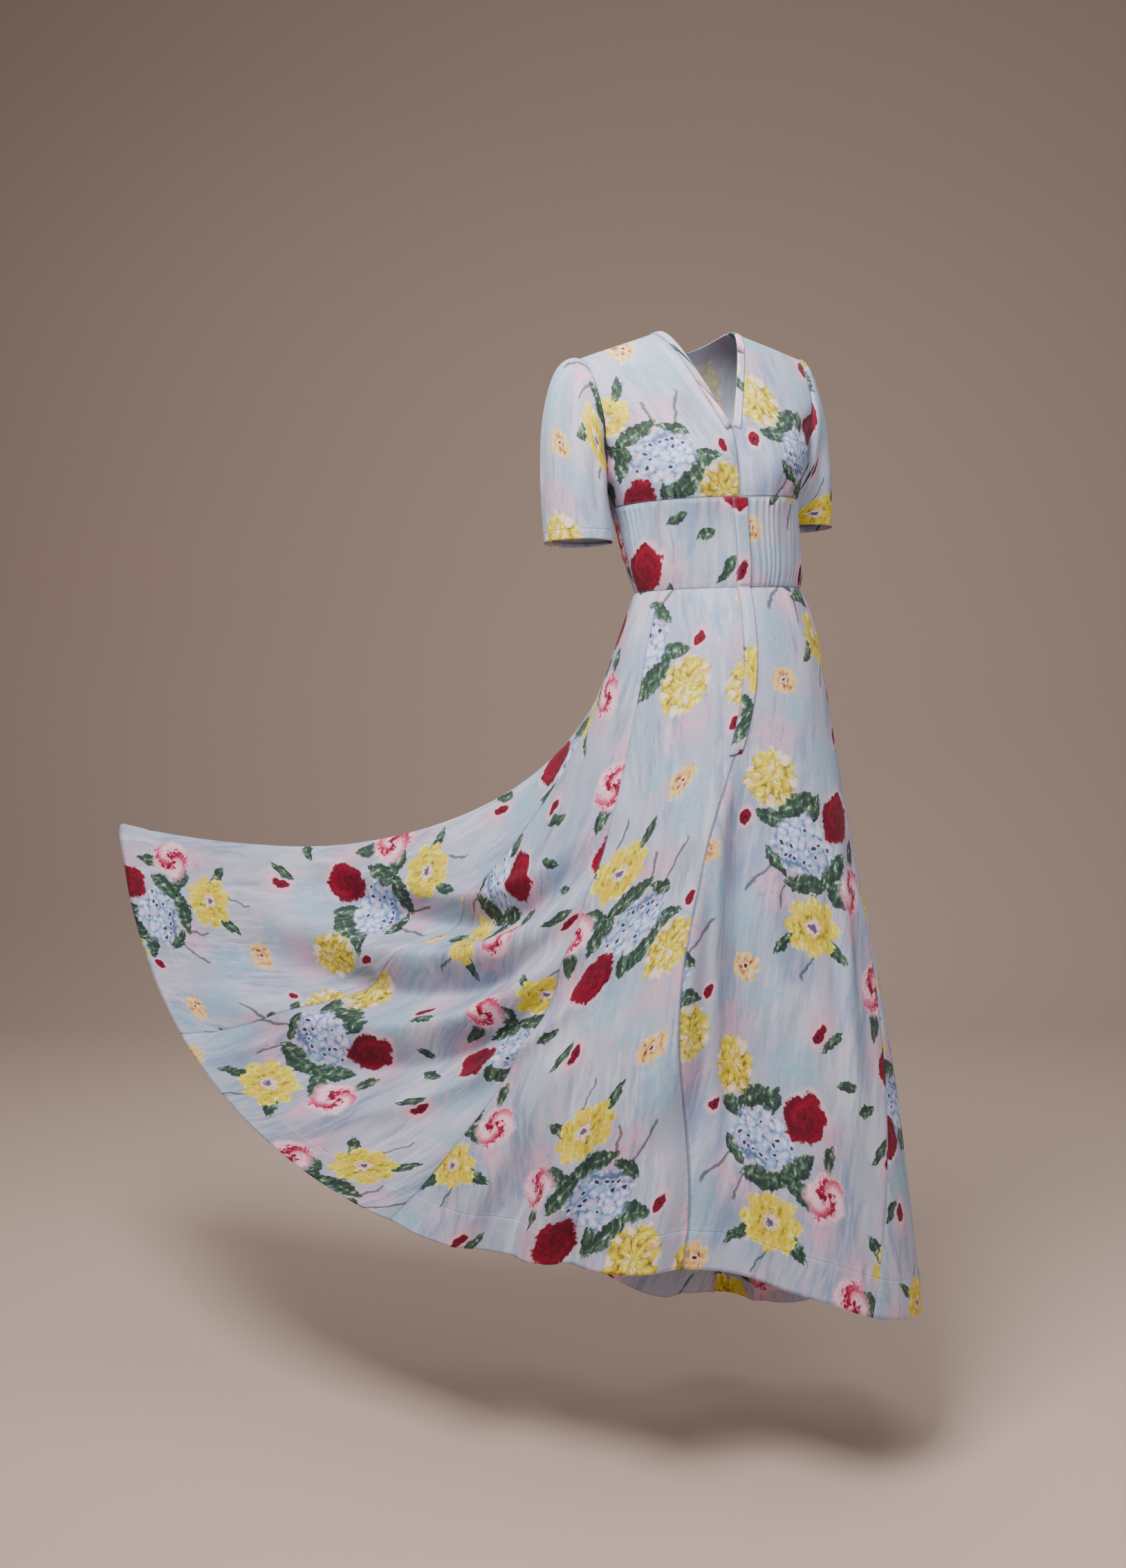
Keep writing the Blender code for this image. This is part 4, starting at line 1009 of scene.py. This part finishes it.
def paint(n, kind, colour, local, streak, dab):
    """One motif over what is painted so far. local is 1 at the motif's edge."""
    radius = n.vector("LENGTH", local)
    ragged = n.math("MULTIPLY_ADD", dab, 0.30, radius)
    px, py = n.split(local)
    if kind in WASHES:
        mask = n.times(n.between(radius, 1.1, 0.2), n.between(streak, 0.36, 0.60), 0.80)
        return n.mix(mask, colour, WASHES[kind])
    if kind == "stem":
        bowed = n.math("ABSOLUTE", n.sum((py, 1.0), (n.times(px, px), 1.6)))
        inside = n.times(n.between(bowed, 1.25, 0.6), n.between(n.math("ABSOLUTE", px), 1.0, 0.8), 0.75)
        return n.mix(inside, colour, (0.18, 0.25, 0.24))
    if kind == "leaf":
        edge = n.sum((n.times(px, px), -1.0), (dab, 0.6), plus=1.0)
        side = n.math("ABSOLUTE", py)
        inside = n.between(n.math("SUBTRACT", edge, side), 0.02, 0.20)
        vein = n.between(side, 0.20, 0.02, 0.0, 0.24)
        shade = n.sum((streak, 1.9), (vein, 1.0), (py, 0.22), (dab, 0.7), plus=-0.62)
        return n.mix(n.times(inside, 0.96), colour, n.ramp(shade, LEAF))
    if kind == "bud":
        colour = n.tint(colour, (0.90, 0.68, 0.75), ragged, 2.0, 1.0, 0.75)
        shade = n.sum((radius, 0.5), (dab, 0.8))
        return n.tint(colour, n.ramp(shade, CRIMSON), ragged, 1.10, 0.82)

    angle = n.math("ARCTAN2", py, px)
    if kind == "hydrangea":
        lobes = n.math("SINE", n.times(angle, 7.0))
        inside = n.between(n.sum((ragged, 1.0), (lobes, 0.06)), 1.05, 0.86)
        near, chance = n.cells(n.scaled(local, 10, (4.6, 3.9)))
        hue, other = n.split(chance)
        petal = n.ramp(n.sum((near, 1.25), (dab, 1.0), (px, -0.10), (py, -0.16), plus=0.02), FLORETS)
        petal = n.tint(petal, (0.82, 0.70, 0.84), hue, 0.60, 0.90, 0.65)
        petal = n.tint(petal, (0.56, 0.70, 0.84), hue, 0.34, 0.10, 0.70)
        dots = n.times(n.between(near, 0.34, 0.20), n.between(other, 0.72, 0.78))
        petal = n.mix(dots, petal, (0.18, 0.10, 0.27))
        return n.mix(n.times(inside, 0.95), colour, petal)
    if kind == "dahlia":
        rays = n.math("ABSOLUTE", n.math("SINE", n.times(angle, 8.0)))
        reach = n.math("MULTIPLY_ADD", rays, 0.12, 0.88)
        inside = n.between(n.math("SUBTRACT", ragged, reach), 0.06, -0.08)
        near, chance = n.cells(n.join(n.times(angle, 3.0), n.times(radius, 3.0)))
        hue, other = n.split(chance)
        side = n.sum((px, 0.10), (py, -0.08))
        petals = n.ramp(n.sum((near, 0.98), (side, 1.0), (dab, 0.9), plus=0.04), YELLOW)
        petals = n.tint(petals, (0.95, 0.84, 0.80), hue, 0.62, 0.86, 0.80)
        petals = n.tint(petals, (0.86, 0.62, 0.24), other, 0.84, 0.92, 0.70)
        return n.mix(inside, colour, petals)
    if kind.endswith("daisy"):
        rays = n.math("POWER", n.math("ABSOLUTE", n.math("COSINE", n.times(angle, 4.0))), 0.5)
        reach = n.math("MULTIPLY_ADD", rays, 0.30, 0.70)
        inside = n.between(n.math("SUBTRACT", ragged, reach), 0.05, -0.06)
        shade = n.sum((n.math("DIVIDE", radius, reach), -0.42), (streak, 1.5), (dab, 0.8), plus=-0.06)
        if kind.startswith("yellow"):
            golden = n.math("SINE", n.times(angle, 3.0))
            petals = n.tint(n.ramp(shade, YELLOW), (0.90, 0.72, 0.26), golden, 0.2, 0.9, 0.4)
            eye = (0.38, 0.30, 0.44)
        else:
            petals = n.ramp(n.sum((shade, -1.0), plus=0.9), PEACH)
            eye = (0.34, 0.10, 0.10)
        petals = n.tint(petals, (0.94, 0.82, 0.80), ragged, 0.34, 0.16, 0.75)
        petals = n.tint(petals, eye, ragged, 0.16, 0.09)
        return n.mix(inside, colour, petals)

    lobes = n.math("SINE", n.math("MULTIPLY_ADD", angle, 5.0, 1.0))
    whole = n.sum((ragged, 1.0), (lobes, 0.05))
    inside = n.between(whole, 1.05, 0.93)
    if kind == "crimson rose":
        spiral = n.math("SINE", n.sum((angle, 1.0), (radius, 9.0), (dab, 3.0)))
        petals = n.ramp(n.sum((radius, 0.50), (spiral, 0.17), (dab, 0.6), plus=0.20), CRIMSON)
        above = n.times(n.between(whole, 1.26, 1.00), n.between(py, 0.0, 0.6), 0.85)
        colour = n.mix(above, colour, (0.90, 0.74, 0.79))
    else:
        crescents = n.math("SINE", n.sum((angle, 2.0), (radius, 6.5), (dab, 5.0)))
        petals = n.ramp(n.sum((radius, 0.42), (crescents, -0.32), (dab, 0.8), plus=0.20), PINK)
        colour = n.tint(colour, (0.90, 0.73, 0.79), whole, 1.22, 1.00, 0.5)
    return n.mix(inside, colour, petals)


def cloth_material(name, group, faded):
    """The printed cloth: its print, a fine weave, puckers along seams and above the hem, and painted shade at
    seams.
    """
    material = bpy.data.materials.new(name)
    material.use_nodes = True
    n = Nodes(material.node_tree)
    pattern = n.new("ShaderNodeUVMap", uv_map="pattern").outputs[0]
    colour = n.new("ShaderNodeGroup", {0: pattern}, node_tree=group).outputs[0]
    if faded:
        colour = n.mix(0.52, colour, (0.77, 0.79, 0.82))

    seam, line = n.attribute("seam"), n.attribute("line")
    to_stitches = n.math("ABSOLUTE", n.attribute("off_stitches"))
    along, across = (n.strokes(pattern, 0, size, 2.0, 0.5) for size in ((26, 120), (120, 26)))
    at_seam = n.times(n.math("SUBTRACT", along, 0.5), n.between(seam, 0.016, 0.001))
    at_stitches = n.times(n.math("SUBTRACT", across, 0.5), n.between(to_stitches, 0.013, 0.001))
    groove = n.times(n.between(to_stitches, 0.0016, 0.0003), -0.5)
    creased = n.math("SUBTRACT", n.strokes(pattern, 6, (17, 8), 3.0, 0.55, 0.6), 0.5)
    height = n.math("ADD", n.math("ADD", n.math("ADD", at_seam, at_stitches), groove), n.times(creased, 0.9))
    soft = n.bump(height, 0.55, 0.0016)

    x, y = n.split(pattern)
    threads = n.times(n.math("SINE", n.times(x, 9500.0)), n.math("SINE", n.times(y, 8600.0)))
    slubs = n.strokes(pattern, 0, (1400, 210), 2.0, 0.6)
    weave = n.math("ADD", n.times(threads, 0.35), slubs)

    # Painted shade: the colour darkens to a grey blue along the lined edges, and more faintly along every
    # seam, where shade falls in the gap or groove
    line_painted_shade = n.between(line, 0.0034, 0.0012, 0.0, 0.55)
    shade = n.math("MAXIMUM", line_painted_shade, n.between(seam, 0.0030, 0.0008, 0.0, 0.22))
    colour = n.mix(shade, colour, (0.30, 0.33, 0.42))
    thread_shade = n.between(slubs, 0.30, 0.70, 0.955, 1.03)
    colour = n.mix(1.0, colour, n.join(thread_shade, thread_shade, thread_shade), "MULTIPLY")
    shader = {
        "Base Color": colour,
        "Normal": n.bump(weave, 0.22, 0.00018, Normal=soft),
        "Roughness": 0.74,
        "Specular IOR Level": 0.28,
        "Sheen Weight": 0.08,
        "Sheen Roughness": 0.45,
    }
    n.fill(material.node_tree.nodes["Principled BSDF"], shader)
    return material


PRINT = print_group()
MATERIALS = {
    "right side": cloth_material("printed cloth", PRINT, faded=False),
    "wrong side": cloth_material("printed cloth, wrong side", PRINT, faded=True),
}

for side_name, side_sign in (("right", -1), ("left", 1)):
    bodice_front("bodice_front_" + side_name, side_sign)
    midriff_front("midriff_front_" + side_name, side_sign, *GATHERS[side_name])
for row in SLEEVES:
    sleeve(*row)
bodice_back()
neck_band()
front_lap()
for gore, *seams in zip(GORES, SKIRT_SEAMS, SKIRT_SEAMS[1:]):
    skirt_gore(*gore, *seams)

# Floor, light and camera
FLOOR = -1.565
FLOOR_FRONT = 4.0
FLOOR_BACK = 2.4
BEND = 1.6
BEND_STEPS = 24
WALL = 8.0
STAGE_HALF = 12.0
BACKDROP = {"Base Color": (*linear((0.82, 0.72, 0.66)), 1.0), "Roughness": 0.95, "Specular IOR Level": 0.1}

CAMERA_SIDE = math.radians(-25.0)
CAMERA_DOWN = math.radians(3.6)
CAMERA_BACK = 1.96
CAMERA_HEIGHT = -0.505
CAMERA_LATERAL = 0.1852
LENS = 31.746

LIGHTS = (
    # name, place to the right of the gown's middle, up and toward the camera, aim, size, power, colour
    ("key", (-0.6, 1.65, 1.05), (0.15, 0.8, 0), (0.8, 0.8), 68, (1.0, 0.99, 0.98)),
    ("fill", (1.2, 0.75, 2.6), (0.15, 0.6, 0), (1.6, 1.6), 31, (0.94, 0.97, 1.0)),
    ("top", (0.3, 2.6, 0.0), (0, 0, 0), (2.0, 2.0), 22, (0.98, 0.99, 1.0)),
    ("back", (-0.6, 1.6, -2.0), (0, 0, 0), (2.5, 1.5), 14, (1.0, 1.0, 1.0)),
)
GOWN_MIDDLE = Vector((0, 0, -0.75))
SKY = (0.84, 0.85, 0.88)
SKY_STRENGTH = 0.19

ahead = Vector((-math.sin(CAMERA_SIDE), math.cos(CAMERA_SIDE), 0))
right = Vector((math.cos(CAMERA_SIDE), math.sin(CAMERA_SIDE), 0))


def add_stage():
    """A floor that sweeps up into a backdrop behind the gown."""
    profile = [(-FLOOR_FRONT, 0.0)]
    for step in range(BEND_STEPS + 1):
        turn = math.pi / 2 * step / BEND_STEPS
        profile.append((FLOOR_BACK + BEND * math.sin(turn), BEND * (1 - math.cos(turn))))
    profile.append((FLOOR_BACK + BEND, WALL))
    stage = bmesh.new()
    rows = [[stage.verts.new((x, y, z)) for x in (-STAGE_HALF, STAGE_HALF)] for y, z in profile]
    for (a, b), (c, d) in zip(rows, rows[1:]):
        stage.faces.new((a, b, d, c))
    mesh = bpy.data.meshes.new("stage")
    stage.to_mesh(mesh)
    stage.free()
    mesh.shade_smooth()
    material = bpy.data.materials.new("backdrop")
    material.use_nodes = True
    Nodes(material.node_tree).fill(material.node_tree.nodes["Principled BSDF"], BACKDROP)
    mesh.materials.append(material)
    floor = bpy.data.objects.new("stage", mesh)
    floor.location = (0, 0, FLOOR)
    floor.rotation_euler = (0, 0, CAMERA_SIDE)
    bpy.context.collection.objects.link(floor)


def from_camera(to_right, up, toward):
    return GOWN_MIDDLE + right * to_right + Vector((0, 0, up)) - ahead * toward


def add_light(name, place, aim, size, power, colour):
    light = bpy.data.lights.new(name, "AREA")
    light.shape = "RECTANGLE"
    light.size, light.size_y = size
    light.energy = power
    light.color = colour
    lamp = bpy.data.objects.new(name, light)
    lamp.location = from_camera(*place)
    lamp.rotation_euler = (from_camera(*aim) - lamp.location).to_track_quat("-Z", "Y").to_euler()
    bpy.context.collection.objects.link(lamp)


add_stage()
for row in LIGHTS:
    add_light(*row)

world = bpy.data.worlds.new("studio")
world.use_nodes = True
sky = {"Color": (*linear(SKY), 1.0), "Strength": SKY_STRENGTH}
Nodes(world.node_tree).fill(world.node_tree.nodes["Background"], sky)
bpy.context.scene.world = world

camera = bpy.data.cameras.new("camera")
camera.sensor_width = 36.0
camera.lens = LENS
eye = bpy.data.objects.new("camera", camera)
eye.location = -ahead * CAMERA_BACK - right * CAMERA_LATERAL + Vector((0, 0, CAMERA_HEIGHT))
look = ahead * math.cos(CAMERA_DOWN) - Vector((0, 0, 1)) * math.sin(CAMERA_DOWN)
eye.rotation_euler = look.to_track_quat("-Z", "Y").to_euler()
bpy.context.collection.objects.link(eye)
bpy.context.scene.camera = eye
